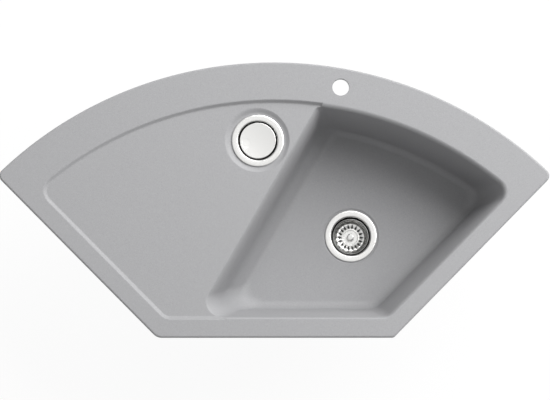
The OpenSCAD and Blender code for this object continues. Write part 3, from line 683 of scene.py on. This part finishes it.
def skinned_material(name, base, roughness, metallic=0.0):
    """Plated metal, or with metallic 0 moulded plastic or rubber, with a slightly uneven skin."""
    low, high, spread, start, depth = METAL_SKIN if metallic else SOFT_SKIN
    material, tree, shader, place = new_material(name)
    skin = shared(tree, "Moulded Skin", moulded_skin, {"Vector": place})
    rough = maths(tree, "MULTIPLY_ADD", skin["Tone"], spread, roughness + start)
    tint = tinted(tree, base, skin["Tone"], low, high)
    surface(tree, shader, tint, rough, skin["Height"], depth, metallic)
    return material


def dress(thing, material):
    """Gives an object one material."""
    thing.data.materials.clear()
    thing.data.materials.append(material)


def dress_node(name, material):
    """Gives a CAD node's slots one material."""
    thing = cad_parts[name]
    for slot in thing.material_slots:
        slot.material = material
    if not thing.material_slots:
        thing.data.materials.append(material)


# The moulded body


def rim_solid(plan):
    """Slab of the rim, whose outer edge is rolled along a quarter circle."""
    s = plan.s
    rings = [raised(plan.rim(e), s.rim_base + up) for e, up in ((0.0008, 0), (0.0003, 0.0004), (0, 0.0012))]
    rings += [raised(plan.rim(e), s.rim_top - down) for e, down in quarter(s.rim_roll, 90, 12)]
    return solid("rim", rings)


def slope_share(t, foot, lip):
    """Height of a slope from 0 to 1 over its run t: a parabola over the share foot, a straight line, and
    a parabola over the share lip, with no kink between them."""
    m = 1 / (1 - (foot + lip) / 2)
    low = m * t * t / (2 * foot)
    high = 1 - m * (1 - t) ** 2 / (2 * lip)
    return np.where(t < foot, low, np.where(t > 1 - lip, high, m * (t - foot / 2)))


def recess_hollow(plan):
    """Hollow of the recess down to the drainboard's plane. Its side rises by slope_share from the foot,
    slope_in inside the recess's line, to the rim, slope_out outside it."""
    s = plan.s
    rings = []
    for t in np.linspace(0, 0.975, 16):
        p = plan.recess(s.slope_in - (s.slope_in + s.slope_out) * t)
        level = plan.board_level(p)
        rings.append(raised(p, level + (s.rim_top - level) * slope_share(t, 0.42, 0.34)))
    p = plan.recess(-s.slope_out - 0.0010)
    rings += [raised(p, s.rim_top + 0.0002), raised(p, s.rim_top + 0.006)]
    return solid("recess_hollow", rings)


def board_tray(plan):
    """Underside of the drainboard, with its lower edge rounded by 3 mm."""
    s = plan.s
    rings = []
    for up, e in quarter(0.003, 90, 5):
        p = plan.board(e - s.wall, s.recess_radius + s.wall + e - 0.0001)
        rings.append(raised(p, plan.board_level(p) - s.board_thick + up))
    rings.append(raised(p, s.rim_base + 0.002))
    return solid("board_tray", rings)


# Walls of the bowl in mm: inset of the floor's edge, radius at the floor, lean, added lean at the rim and
# at the foot, and the width and height of the rounded upper edge
WALLS = {
    "left": (52.3, 17.0, 0.05, 0.53, 0.85, 0.0, 1.0),
    "front": (61.2, 22.0, 0.205, 0.08, 0.0, 4.3, 5.0),
    "right": (61.2, 22.0, 0.18, 0.20, 0.0, 5.4, 9.0),
    "back": (36.5, 15.5, 0.088, 0.0, 0.0, 9.55, 8.5),
}


def wall_inset(wall, height, depth, outside=0.0):
    """Inset of a wall at a height above the bowl's floor, or of its outer face. From the floor it follows
    a circle, up to where the circle leans as the wall does. Above, it is the sum of the lean, which at
    the height h and the depth d is lean + top exp((h - d) / 30) + foot exp(-(h / 36)^2). A quarter
    ellipse then rounds its upper edge. Lengths inside are in mm."""
    edge, radius, lean, top, foot, width, rise = WALLS[wall]
    height, depth, t = height * 1000, depth * 1000, outside * 1000
    if height <= 0:
        return (edge - math.sqrt(max((radius + t) ** 2 - (radius - height) ** 2, 0))) / 1000
    h = np.linspace(0.01, depth, 4000)
    leans = lean + top * np.exp((h - depth) / 30) + foot * np.exp(-(h / 36) ** 2)
    circle_run = np.sqrt(np.maximum(radius ** 2 - (radius - h) ** 2, 0))
    on_circle = (h < radius) & ((radius - h) > leans * circle_run)
    last = np.flatnonzero(on_circle)[-1]
    run = circle_run[last] + np.cumsum(leans * (h > h[last])) * (h[1] - h[0])
    shell = np.sqrt(np.maximum((radius + t) ** 2 - (radius - h) ** 2, 0))
    inset = edge - np.where(on_circle, shell, run + t * np.sqrt(1 + leans ** 2))
    up = np.clip(1 - (depth - h) / rise, 0, 1)
    inset -= width * (1 - np.sqrt(1 - up ** 2)) * (t == 0)
    return float(np.interp(height, h, inset)) / 1000


def wall_ring(plan, height, outside=0.0, left=None):
    """Plan outline of the bowl's walls at one height above the floor, with a given inset at the left.
    The heel's radius grows downwards, and the right corners tighten with the rounded upper edge."""
    s = plan.s
    under_rim = s.bowl_depth - height
    insets = [wall_inset(wall, height, s.bowl_depth, outside) for wall in WALLS]
    if left is not None:
        insets[0] = left
    growth = (s.bowl_corner - s.bowl_heel) * np.clip(under_rim / 0.150, 0, 1)
    drawn = min(max(insets[2], 0), 0.006) * np.clip(1 - under_rim / 0.060, 0, 1)
    return plan.bowl(*insets, growth, drawn)


def flare_curve(run):
    """Runs and falls of the flare from the drainboard into the bowl. Its slope at the run x, in mm, is
    (0.7 + 0.1 x + 0.0085 x^2)(1 - exp(-x / 0.9)), and the fall is that slope's running sum."""
    x = np.concatenate([np.linspace(0, 2.4, 9), np.linspace(2.4, run * 1000, 13)[1:]])
    fine = np.linspace(0, x[-1], 600)
    slope = (0.7 + 0.1 * fine + 0.0085 * fine ** 2) * (1 - np.exp(-fine / 0.9))
    fall = np.concatenate([[0], np.cumsum((slope[1:] + slope[:-1]) / 2 * np.diff(fine))])
    return x / 1000, np.interp(x, fine, fall) / 1000


# Height of the rings that are closest together at the bowl's floor, and the fall of that floor
BEND = 0.024
FLOOR_FALL = 0.0014
# Insets of the bowl's left edge where the flare starts and where the recess is crossed
FLARE_START = -0.0093
LEFT_EDGE = -0.0098
# Shares of the step from the drainboard to the rim, closer together towards the rim
STEP_SHARES = 1 - np.array([0.95, 0.8, 0.65, 0.5, 0.38, 0.28, 0.2, 0.13, 0.08, 0.04, 0.015, 0.003])


def bowl_hollow(plan):
    """Hollow of the bowl: a floor that falls to the waste, then rings of wall_ring. Along the divider the
    walls end in flare_curve, and the rest go on to the rim's top."""
    s = plan.s
    floor = s.rim_top - s.bowl_depth
    waste = plan.bowl_waste()
    outer = wall_ring(plan, 0.0)
    away = outer - waste
    away /= np.hypot(*away.T)[:, None]
    inner = waste + away * (s.seat / 2 - 0.004)
    rings = []
    for t in np.linspace(0, 1, 9):
        rings.append(raised(inner + (outer - inner) * t, floor - FLOOR_FALL * (1 - smooth(t))))
    for t in np.linspace(0, 1, 17)[1:]:
        rings.append(raised(wall_ring(plan, BEND * t ** 2), floor + BEND * t ** 2))
    x, fall = flare_curve(s.flare)
    low = s.bowl_depth - s.board_step - fall[-1]
    for t in np.linspace(0, 1, 16)[1:-1]:
        p = wall_ring(plan, BEND + (low - BEND) * t)
        z = floor + BEND
        rings.append(raised(p, z + (plan.board_level(p) - fall[-1] - z) * t))
    for run, drop in zip(x[::-1], fall[::-1]):
        p = wall_ring(plan, s.bowl_depth - s.board_step - drop, 0.0, run + FLARE_START)
        rings.append(raised(p, plan.board_level(p) - drop))
    for part in STEP_SHARES:
        p = wall_ring(plan, s.bowl_depth - s.board_step * (1 - part), 0.0, LEFT_EDGE)
        level = plan.board_level(p)
        rings.append(raised(p, level + (s.rim_top + 0.00005 - level) * part))
    rings.append(raised(p, s.rim_top + 0.010))
    return solid("bowl_hollow", rings)


def bowl_shell(plan):
    """Outside of the bowl, one wall thickness out."""
    s = plan.s
    bend, top = 0.020, s.bowl_depth - (s.rim_top - s.rim_base) + 0.001
    heights = np.concatenate([-s.wall + (s.wall + bend) * np.linspace(0, 1, 14) ** 2,
                              np.linspace(bend, top, 12)[1:]])
    return solid("bowl_shell", [raised(wall_ring(plan, h, s.wall), s.rim_top - s.bowl_depth + h)
                                for h in heights])


def dish(name, centre, seat, depth, inner, outer):
    """Dish round a waste: a flat seat, then a side whose height follows a half cosine wave."""
    t = np.linspace(0, 1, 14)
    heights = seat + (depth + 0.0003) * (0.5 - 0.5 * np.cos(math.pi * t * 0.97))
    sizes = list(zip(inner + (outer - inner) * t, heights))
    return round_solid(name, centre, sizes + [(outer + 0.001, heights[-1] + 0.004)])


def eased_hole(centre, low, top, radius, ease):
    """Cutter for a round hole whose upper edge is eased by a quarter circle."""
    sizes = [(radius, low)] + [(radius + e, top - down) for e, down in quarter(ease, 84, 7)]
    return round_solid("hole", centre, sizes + [(radius + ease * 1.1, top + 0.0004)])


def clamp_spots(plan):
    """Places of the clamps' bosses: two at the front, two on each side and five along the back."""
    s = plan.s
    spots = []
    for hand in (-1, 1):
        spots.append((hand * s.front_edge * 0.32, plan.front + BOSS_INSET))
        for part in (0.3, 0.75):
            x, y = inward(plan.right, -1, BOSS_INSET) + part * plan.reach * unit(plan.right[2])
            spots.append((hand * x, y))
    for part in (0.1, 0.32, 0.5, 0.68, 0.9):
        spots.append(plan.centre + (s.back_radius - BOSS_INSET) * unit(plan.along_back(part)))
    return spots


def back_rib(plan):
    """Curved rib under the back rim: a 5 by 11 mm bar along an arc."""
    s = plan.s
    r = s.back_radius - RIB_INSET
    t = unit(np.linspace(plan.tip_angle + 2, 178 - plan.tip_angle, 90))
    section = [(r - 0.0025, -0.010), (r + 0.0025, -0.010), (r + 0.0025, 0.001), (r - 0.0025, 0.001)]
    rows = [raised(plan.centre + q * t, s.rim_base + z) for q, z in section]
    return facing_out(solid("rib", np.stack(rows, 1)))


def web(plan, part):
    """Straight web from a boss under the back rim to the bowl or tray."""
    s = plan.s
    a = plan.along_back(part)
    out, half = unit(a), 0.0025 * unit(a + 90)
    start = plan.centre + (s.back_radius - BOSS_INSET) * out
    end = start - (s.back_margin - BOSS_INSET - s.wall / 2) * out
    corners = np.array([end - half, start - half, start + half, end + half])
    return solid("web", [raised(corners, s.rim_base - 0.010), raised(corners, s.rim_base + 0.001)])


# Radii of the tap's pad and of the space for its nut, and thickness of the rim at the pad
TAP_PAD = 0.028
NUT_SPACE = 0.027
TAP_THICK = 0.012
# Thickness of the moulding round the wastes, and gap round a flange
WASTE_THICK = 0.009
FLANGE_GAP = 0.0015
# Radius and lowest height of a clamp's boss, and radius and upper end of the hole in it
BOSS_RADIUS = 0.008
BOSS_LOW = -0.018
BOSS_HOLE = 0.0042
BOSS_HOLE_END = -0.006
# How far a tool goes past the face that it meets
LAP = 0.001


def settings_of(context):
    """Sizes of the wastes, finishes, and the moulding's plan."""
    scene = context.scene
    return scene.sink_wastes, scene.sink_finishes, Plan(scene.sink_moulding)


class SINK_OT_body(bpy.types.Operator):
    """Builds the moulded body: rim, drainboard, bowl, dishes, holes, ribs and bosses"""

    bl_idname = "sink.body"
    bl_label = "Moulded body"

    def execute(self, context):
        w, finish, plan = settings_of(context)
        s = plan.s
        tap, bowl, board = plan.tap(), plan.bowl_waste(), plan.board_waste()
        floor, shelf = seat_of(plan, "bowl")[2], seat_of(plan, "board")[2]
        pad_low = s.rim_top - TAP_THICK
        seat = w.flange / 2 + FLANGE_GAP
        bosses = [drum("boss", p, BOSS_LOW, s.rim_base + LAP, BOSS_RADIUS, 40) for p in clamp_spots(plan)]
        added = [board_tray(plan), bowl_shell(plan), back_rib(plan)]
        added += [web(plan, part) for part in (0.32, 0.5, 0.68)]
        added.append(joined(bosses, "bosses"))
        pads = [drum("pad", tap, pad_low, s.rim_top - LAP, TAP_PAD),
                drum("board_pad", board, shelf - WASTE_THICK, shelf, s.dish / 2 - 0.004, 120),
                drum("bowl_pad", bowl, floor - WASTE_THICK, floor, s.seat / 2 + 0.003, 120)]
        holes = [eased_hole(tap, pad_low - LAP, s.rim_top, s.tap_hole / 2, 0.0006)]
        holes += [drum("hole", spot, z - WASTE_THICK - LAP, z + LAP, s.waste_hole / 2)
                  for spot, z in ((board, shelf), (bowl, floor))]
        holes += [drum("hole", p, BOSS_LOW - LAP, BOSS_HOLE_END, BOSS_HOLE, 32) for p in clamp_spots(plan)]
        taken = [recess_hollow(plan), bowl_hollow(plan),
                 dish("board_dish", board, shelf, s.dish_depth, seat, s.dish / 2 + LAP),
                 dish("bowl_dish", bowl, floor, s.seat_depth, seat, s.seat / 2),
                 joined(holes, "holes")]
        steps = [("UNION", tool) for tool in added]
        steps.append(("DIFFERENCE", drum("nut_space", tap, s.rim_base - 0.011, s.rim_base, NUT_SPACE)))
        steps += [("UNION", tool) for tool in pads]
        steps += [("DIFFERENCE", tool) for tool in taken]
        piece = combine(rim_solid(plan), steps)
        piece.name = "moulded_body"
        if len(piece.data.polygons) < 5000:
            raise RuntimeError("the moulded body came out empty")
        dress(piece, stone_material(finish))
        shade(piece, 30, True)
        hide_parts("sink_body")
        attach(piece, "sink")
        return {"FINISHED"}


# Wastes and strainers


def seat_of(plan, place):
    """Seat of a waste as (x, y, z)."""
    s = plan.s
    if place == "bowl":
        return np.array([*plan.bowl_waste(), s.rim_top - s.bowl_depth - s.seat_depth])
    p = plan.board_waste()
    return np.array([*p, plan.board_level(p[None])[0] - s.dish_depth])


def flange_piece(name, w, seat):
    """Flange and cup of a waste: a lathed sheet of 1.2 mm with a rolled lip, and windows in its foot."""
    r, c, d, t = w.flange / 2, w.cup / 2, w.cup_depth, 0.0012
    q = w.plate / 2 - 0.003
    top = 0.0032
    throat = -d - w.throat
    points = [(r - t, 0.0002), (r, 0.0002), (r, top - 0.0006), (r - 0.0022, top), (c + 0.0024, top),
              (c, top - 0.0020), (c, 0.006 - d), (c - 0.005, -d), (q, -d - 0.0006), (q, throat + t),
              (0.0033, throat + t), (0.0033, throat), (q + t, throat), (q + t, -d - 0.0006 - t),
              (c - 0.0046, -d - t), (c + t, 0.0056 - d), (c + t, top - 0.0024), (c + 0.0026, 0.0020),
              (r - 0.0022, 0.0020), (r - t, top - 0.0018)]
    radii = [0, 0.0003, 0.0012, 0.003, 0.0025, 0.002, 0.004, 0.003, 0.0006, 0.001, 0, 0, 0.0008, 0.001,
             0.003, 0.004, 0.001, 0.001, 0.001, 0.0008]
    windows = []
    for i in range(6):
        inner = arc(seat[:2], 0.0055, 60 * i + 10, 60 * i + 50, 8)
        outer = arc(seat[:2], q - 0.001, 60 * i + 10, 60 * i + 50, 8)
        ring = np.concatenate([outer, inner[::-1]])
        windows.append(solid("window", [raised(ring, seat[2] + throat - 0.001),
                                        raised(ring, seat[2] + throat + 0.003)]))
    return combine(lathe(name, rounded(points, radii), seat, 180),
                   [("DIFFERENCE", joined(windows, "windows"))])


# Height of a basket's floor over the cup's, of the top of its petals and thickness of its sheet
BASKET_LIFT = 0.0012
PETAL_TOP = 0.0042
BASKET_SHEET = 0.0009
# Distance of the petals' foot from the plate's edge
PETAL_FOOT = 0.0034
# Outline of a slot: distances from the petals' foot, and half widths
SLOT = [(-0.0033, 0.0014), (-0.0028, 0.0021), (-0.0004, 0.0021), (0.0016, 0.0014), (0.0040, 0.0007),
        (0.0048, 0.0002)]


def basket_piece(name, w, seat):
    """Strainer basket: a lathed sheet whose cone is pressed into petals. At angle t the sheet moves up
    by h(r) |sin(n t / 2)|^0.7, with n the number of slots and h a bump over the cone."""
    r, foot, t = w.basket / 2, w.plate / 2 + PETAL_FOOT, BASKET_SHEET
    low, rim = BASKET_LIFT - w.cup_depth, -0.005
    dense = refine(rounded([(0.0026, low + t), (foot - 0.0012, low + t), (foot + 0.0062, low + PETAL_TOP),
                            (r - 0.0046, low + 0.0150), (r - 0.0026, rim - 0.0004),
                            (r - 0.0014, rim + 0.0008), (r - 0.0002, rim + 0.0004)],
                           [0, 0.003, 0.0022, 0.002, 0.001, 0.0006, 0], 8), 0.0006)
    slope = np.gradient(dense, axis=0)
    normal = np.stack([slope[:, 1], -slope[:, 0]], -1)
    normal /= np.hypot(*normal.T)[:, None]
    rise = smooth(np.clip((dense[:, 0] - (foot - 0.0035)) / 0.004, 0, 1))
    fall = smooth(np.clip((foot + 0.0068 - dense[:, 0]) / 0.003, 0, 1))
    petal = 0.0011 * rise * fall * (dense[:, 1] < low + 0.0075)
    steps = 360
    wave = np.abs(np.sin(np.radians(w.slots * np.linspace(0, 360, steps, endpoint=False) / 2))) ** 0.7
    lift = petal[:, None] * wave
    grids = []
    for sheet in (dense, dense + normal * t):
        radius = sheet[:, :1] - normal[:, :1] * lift
        height = sheet[:, 1:] - normal[:, 1:] * lift
        grids.append(np.concatenate([radius[..., None] * circle((0, 0), 1, steps), height[..., None]], -1))
    piece = looped(name, np.concatenate([grids[0], grids[1][::-1]]) + seat)
    slots = []
    for i in range(w.slots):
        out, across = unit(360 * i / w.slots), unit(360 * i / w.slots + 90)
        ring = [(foot + a) * out - b * across for a, b in SLOT]
        ring += [(foot + a) * out + b * across for a, b in SLOT[::-1]]
        ring = np.array(ring) + seat[:2]
        slots.append(solid("slot", [raised(ring, seat[2] + low - 0.002),
                                    raised(ring, seat[2] + low + 0.0115)]))
    return combine(piece, [("DIFFERENCE", joined(slots, "slots"))])


def refine(profile, step):
    """Profile with points added so that no part of it is longer than the step."""
    parts = np.diff(profile, axis=0)
    counts = np.maximum(1, np.ceil(np.hypot(*parts.T) / step).astype(int))
    fine = [a + s * (np.arange(n) / n)[:, None] for a, s, n in zip(profile[:-1], parts, counts)]
    return np.concatenate(fine + [profile[-1:]])


def plate_piece(name, w, seat):
    """Plate on the basket's floor: a disc with a raised, rounded border."""
    r = w.plate / 2
    points = [(0.0026, 0), (r - 0.001, 0), (r, 0.0005), (r, 0.0013), (r - 0.0010, 0.0019),
              (r - 0.0032, 0.0019), (r - 0.0044, 0.0010), (0.0026, 0.0010)]
    profile = rounded(points, [0, 0.0006, 0.0004, 0.0008, 0.0012, 0.001, 0.001, 0])
    return lathe(name, profile + [0, 0.0022 - w.cup_depth], seat, 120)


def knob_piece(name, w, seat):
    """Knob and stem: a waisted mushroom on a plain rod."""
    r, h = w.knob / 2, w.knob_height
    foot = -w.cup_depth - w.throat + 0.0025
    z = 0.0032 - w.cup_depth
    points = [(0, foot), (0.0025, foot), (0.0025, z), (r - 0.001, z), (r - 0.0016, z + 0.0012),
              (r - 0.0024, z + 0.004), (r - 0.0020, z + h - 0.0042), (r, z + h - 0.0026),
              (r, z + h - 0.0010), (r - 0.0020, z + h), (0, z + h)]
    radii = [0, 0.0003, 0, 0.0004, 0.001, 0.003, 0.002, 0.0008, 0.0008, 0.002, 0]
    return lathe(name, rounded(points, radii), seat, 96)


# Height of the lid's underside and thickness, radius of its rounded edge, and depth and edge of its hollow
LID_LOW = 0.0014
LID_THICK = 0.0016
LID_EDGE = 0.0008
THUMB_DEPTH = 0.0003
THUMB_EDGE = 0.0008


def lid_piece(name, w, seat):
    """Lid with a thumb hollow. Its top is dished, as a parabola of the radius, less a hollow that starts
    at a crisp arc and runs out towards the lid's edge."""
    r = w.lid / 2
    top = LID_LOW + LID_THICK
    flat = r - LID_EDGE
    radii = np.concatenate([np.linspace(0, flat, 110)[1:],
                            flat + LID_EDGE * np.sin(np.linspace(0, math.pi / 2, 6)[1:])])
    past = np.clip((radii - flat) / LID_EDGE, 0, 1)
    edge = top - LID_EDGE * (1 - np.sqrt(1 - past ** 2)) - w.lid_dish * (1 - (radii / r) ** 2)
    around = circle((0, 0), 1, 300)
    grid = radii[:, None, None] * around
    out = np.array([math.cos(w.thumb_turn), math.sin(w.thumb_turn)])
    u = grid @ out - (r - w.thumb / 2 - 0.0012)
    v = grid @ [-out[1], out[0]]
    inside = smooth(np.clip((w.thumb / 2 - np.hypot(u, v)) / THUMB_EDGE, 0, 1))
    tilt = np.clip(0.5 - 0.5 * u / (w.thumb / 2), 0, 1)
    z = edge[:, None] - THUMB_DEPTH * inside * tilt
    rings = [raised(p, h) for p, h in zip(grid, z)]
    rings += [raised((r - 0.0002) * around, LID_LOW + 0.0004), raised((r - 0.001) * around, LID_LOW)]
    return poled(name, np.array(rings) + seat, seat + [0, 0, top - w.lid_dish], seat + [0, 0, LID_LOW])


# Painted shade: where the steel darkens below a flange's edge, inside its cup, as set in steel_material,
# and the same for a basket from the top of its petals up its cone inside the cup
FLANGE_PAINTED_SHADE = (-0.0075, 0.0005, 0.08, 1.0)
BASKET_PAINTED_SHADE = (0.0004, 0.0024, 1.0, 0.40)
KNOB_ROUGHNESS = 0.22
LID_ROUGHNESS = 0.25


class SINK_OT_flanges(bpy.types.Operator):
    """Builds the steel flanges of the two wastes"""

    bl_idname = "sink.flanges"
    bl_label = "Flanges"

    def execute(self, context):
        w, finish, plan = settings_of(context)
        for place, cad in (("bowl", "bowl_flange"), ("board", "drainer_flange")):
            seat = seat_of(plan, place)
            piece = flange_piece(place + "_waste_flange", w, seat)
            # The flange's steel darkens inside its cup: painted shade
            dress(piece, steel_material(place + "_flange_steel", finish, seat, finish.steel_roughness,
                                        FLANGE_PAINTED_SHADE))
            shade(piece)
            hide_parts(cad)
            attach(piece, "sink")
        return {"FINISHED"}


class SINK_OT_baskets(bpy.types.Operator):
    """Builds the two strainer baskets and the plates on their floors"""

    bl_idname = "sink.baskets"
    bl_label = "Strainer baskets"

    def execute(self, context):
        w, finish, plan = settings_of(context)
        # Painted shade: the baskets' steel darkens on the cone above the petals, inside the cup
        petals = BASKET_LIFT - w.cup_depth + PETAL_TOP
        painted_shade = (petals + BASKET_PAINTED_SHADE[0], petals + BASKET_PAINTED_SHADE[1], *BASKET_PAINTED_SHADE[2:])
        for place, sheet, disc, body in (("bowl", "strainer_basket", "basket_plate", "basket"),
                                         ("board", "drainer_basket", "drainer_plate", "lid")):
            seat = seat_of(plan, place)
            steel = steel_material(place + "_basket_steel", finish, seat, finish.steel_roughness, painted_shade)
            for thing, cad in ((basket_piece(place + "_basket_sheet", w, seat), sheet),
                               (plate_piece(place + "_basket_disc", w, seat), disc)):
                dress(thing, steel)
                shade(thing)
                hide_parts(cad)
                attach(thing, body)
        return {"FINISHED"}


class SINK_OT_knob(bpy.types.Operator):
    """Builds the knob that lifts the strainer basket"""

    bl_idname = "sink.knob"
    bl_label = "Knob"

    def execute(self, context):
        w, finish, plan = settings_of(context)
        seat = seat_of(plan, "bowl")
        piece = knob_piece("strainer_knob", w, seat)
        dress(piece, steel_material("knob_steel", finish, seat, KNOB_ROUGHNESS))
        shade(piece)
        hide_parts("basket_knob")
        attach(piece, "basket")
        return {"FINISHED"}


class SINK_OT_lid(bpy.types.Operator):
    """Builds the lid over the drainboard's waste"""

    bl_idname = "sink.lid"
    bl_label = "Lid"

    def execute(self, context):
        w, finish, plan = settings_of(context)
        seat = seat_of(plan, "board")
        piece = lid_piece("waste_lid", w, seat)
        dress(piece, steel_material("lid_steel", finish, seat, LID_ROUGHNESS))
        shade(piece)
        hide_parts("drainer_lid")
        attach(piece, "lid")
        return {"FINISHED"}


class SINK_OT_fittings(bpy.types.Operator):
    """Dresses the seals, screws, clamps, waste bodies and pipes that keep their CAD shapes"""

    bl_idname = "sink.fittings"
    bl_label = "Fittings"

    def execute(self, context):
        finish = context.scene.sink_finishes
        groups = (
            (skinned_material("black_rubber", finish.rubber, 0.62),
             "rim_strip bowl_flange_seal bowl_body_seal basket_seal drainer_flange_seal "
             "drainer_body_seal drainer_seal bowl_union_washer drainer_union_washer inlet_washer"),
            (skinned_material("white_plastic", finish.plastic, 0.38),
             "bowl_waste_body drainer_waste_body link_pipe outlet_tee bowl_union_nut "
             "drainer_union_nut inlet_nut"),
            (skinned_material("turned_brass", finish.brass, 0.34, 1.0),
             "clamp_inserts bowl_screw_insert drainer_screw_insert"),
            (skinned_material("plated_zinc", finish.zinc, 0.40, 1.0), "clamp_arms clamp_screws"),
            (skinned_material("screw_steel", finish.steel, 0.30, 1.0),
             "bowl_waste_screw drainer_waste_screw lid_stem"),
        )
        for material, names in groups:
            for name in names.split():
                dress_node(name, material)
        return {"FINISHED"}


# Stage


# Radius of the floor, its colour where it is seen indirectly, and place of the soft lamp
FLOOR_RADIUS = 6.0
FLOOR_TONE = 0.88
LAMP_PLACE = (2.70, 2.90, 3.35)


def seen(tree, reflected=1.0):
    """1 for rays from the camera and through glass, the strength reflected for reflections, else 0."""
    path = node(tree, "LightPath", {}).outputs
    glossy = maths(tree, "MULTIPLY", path["Is Glossy Ray"], reflected)
    direct = maths(tree, "MAXIMUM", path["Is Camera Ray"], path["Is Transmission Ray"])
    return maths(tree, "MAXIMUM", direct, glossy)


def backdrop_material(name, pale):
    """Floor that the camera and the reflections see as white, less the object's shadow."""
    material = bpy.data.materials.new(name)
    material.use_nodes = True
    tree = material.node_tree
    tree.nodes.clear()
    plain = node(tree, "BsdfDiffuse", {"Color": (pale, pale, pale, 1)})
    glow = node(tree, "Emission", {"Color": (1, 1, 1, 1), "Strength": 1.0})
    mix = node(tree, "MixShader", {0: maths(tree, "MULTIPLY", seen(tree), 0.93),
                                   1: plain.outputs[0], 2: glow.outputs[0]})
    node(tree, "OutputMaterial", {0: mix.outputs[0]})
    return material


def soft_lamp(name, place, size, power):
    """Square area lamp at a place, turned to the origin."""
    data = bpy.data.lights.new(name, "AREA")
    data.shape = "SQUARE"
    data.size = size
    data.energy = power
    lamp = bpy.data.objects.new(name, data)
    lamp.location = place
    lamp.rotation_euler = (-Vector(place)).to_track_quat("-Z", "Y").to_euler()
    bpy.context.scene.collection.objects.link(lamp)


def even_world(sky, haze):
    """World that lights evenly at the strength sky and shows white to the camera. Reflections see it
    white overhead, easing down to the strength haze towards the horizon."""
    world = bpy.data.worlds.new("studio")
    bpy.context.scene.world = world
    world.use_nodes = True
    tree = world.node_tree
    background = tree.nodes["Background"]
    background.inputs["Color"].default_value = (1, 1, 1, 1)
    direction = node(tree, "TexCoord", {}).outputs["Generated"]
    up = node(tree, "SeparateXYZ", {0: direction}).outputs["Z"]
    overhead = ramp(tree, up, (0.40, 0.88, haze, 1.0), interpolation_type="SMOOTHSTEP")
    feed(tree, background.inputs["Strength"], maths(tree, "MAXIMUM", seen(tree, overhead), sky))


class SINK_OT_stage(bpy.types.Operator):
    """Sets the floor, the light and the camera"""

    bl_idname = "sink.stage"
    bl_label = "Stage"

    def execute(self, context):
        scene = context.scene
        settings = scene.sink_stage
        ring = circle((0, 0), FLOOR_RADIUS, 64)
        floor = new_object("floor", raised(ring, CAD_BOX[0][2] - 0.0005), [list(range(64))], False)
        dress(floor, backdrop_material("pale_floor", FLOOR_TONE))
        even_world(settings.sky, settings.haze)
        soft_lamp("key", LAMP_PLACE, settings.key_size, settings.key)
        lean = Vector((settings.lean_x, settings.lean_y, 1)).normalized()
        target = Vector((settings.aim_x, settings.aim_y, scene.sink_moulding.rim_top))
        data = bpy.data.cameras.new("camera")
        data.sensor_width = 36
        data.lens = data.sensor_width * settings.distance / settings.view_width
        data.clip_end = 80
        camera = bpy.data.objects.new("camera", data)
        camera.location = target + lean * settings.distance
        camera.rotation_euler = upright(lean)
        scene.collection.objects.link(camera)
        scene.camera = camera
        scene.view_settings.view_transform = "Standard"
        return {"FINISHED"}


def upright(back):
    """Rotation of a camera that looks along -back and shows lines along X level."""
    up = back.cross(Vector((1, 0, 0))).normalized()
    right = up.cross(back)
    return Matrix((right, up, back)).transposed().to_euler()


class SINK_PT_panel(bpy.types.Panel):
    """Lists the sink's pieces"""

    bl_idname = "SINK_PT_panel"
    bl_label = "Corner sink"
    bl_space_type = "VIEW_3D"
    bl_region_type = "UI"
    bl_category = "Sink"

    def draw(self, context):
        for operator in OPERATORS:
            self.layout.operator(operator.bl_idname)
        for group in GROUPS:
            settings = getattr(context.scene, group)
            box = self.layout.box()
            for name in settings.bl_rna.properties.keys():
                if name not in ("rna_type", "name"):
                    box.prop(settings, name)


OPERATORS = (SINK_OT_body, SINK_OT_flanges, SINK_OT_baskets, SINK_OT_knob, SINK_OT_lid,
             SINK_OT_fittings, SINK_OT_stage)
GROUPS = {"sink_moulding": MouldingSizes, "sink_wastes": WasteSizes, "sink_finishes": Finishes,
          "sink_stage": StageSettings}


def register():
    for name, group in GROUPS.items():
        bpy.utils.register_class(group)
        setattr(bpy.types.Scene, name, PointerProperty(type=group))
    for cls in OPERATORS + (SINK_PT_panel,):
        bpy.utils.register_class(cls)


def unregister():
    for cls in (SINK_PT_panel,) + OPERATORS[::-1]:
        bpy.utils.unregister_class(cls)
    for name, group in GROUPS.items():
        delattr(bpy.types.Scene, name)
        bpy.utils.unregister_class(group)


def main():
    register()
    bpy.ops.sink.body()
    bpy.ops.sink.flanges()
    bpy.ops.sink.baskets()
    bpy.ops.sink.knob()
    bpy.ops.sink.lid()
    bpy.ops.sink.fittings()
    bpy.ops.sink.stage()


if __name__ == "__main__":
    main()
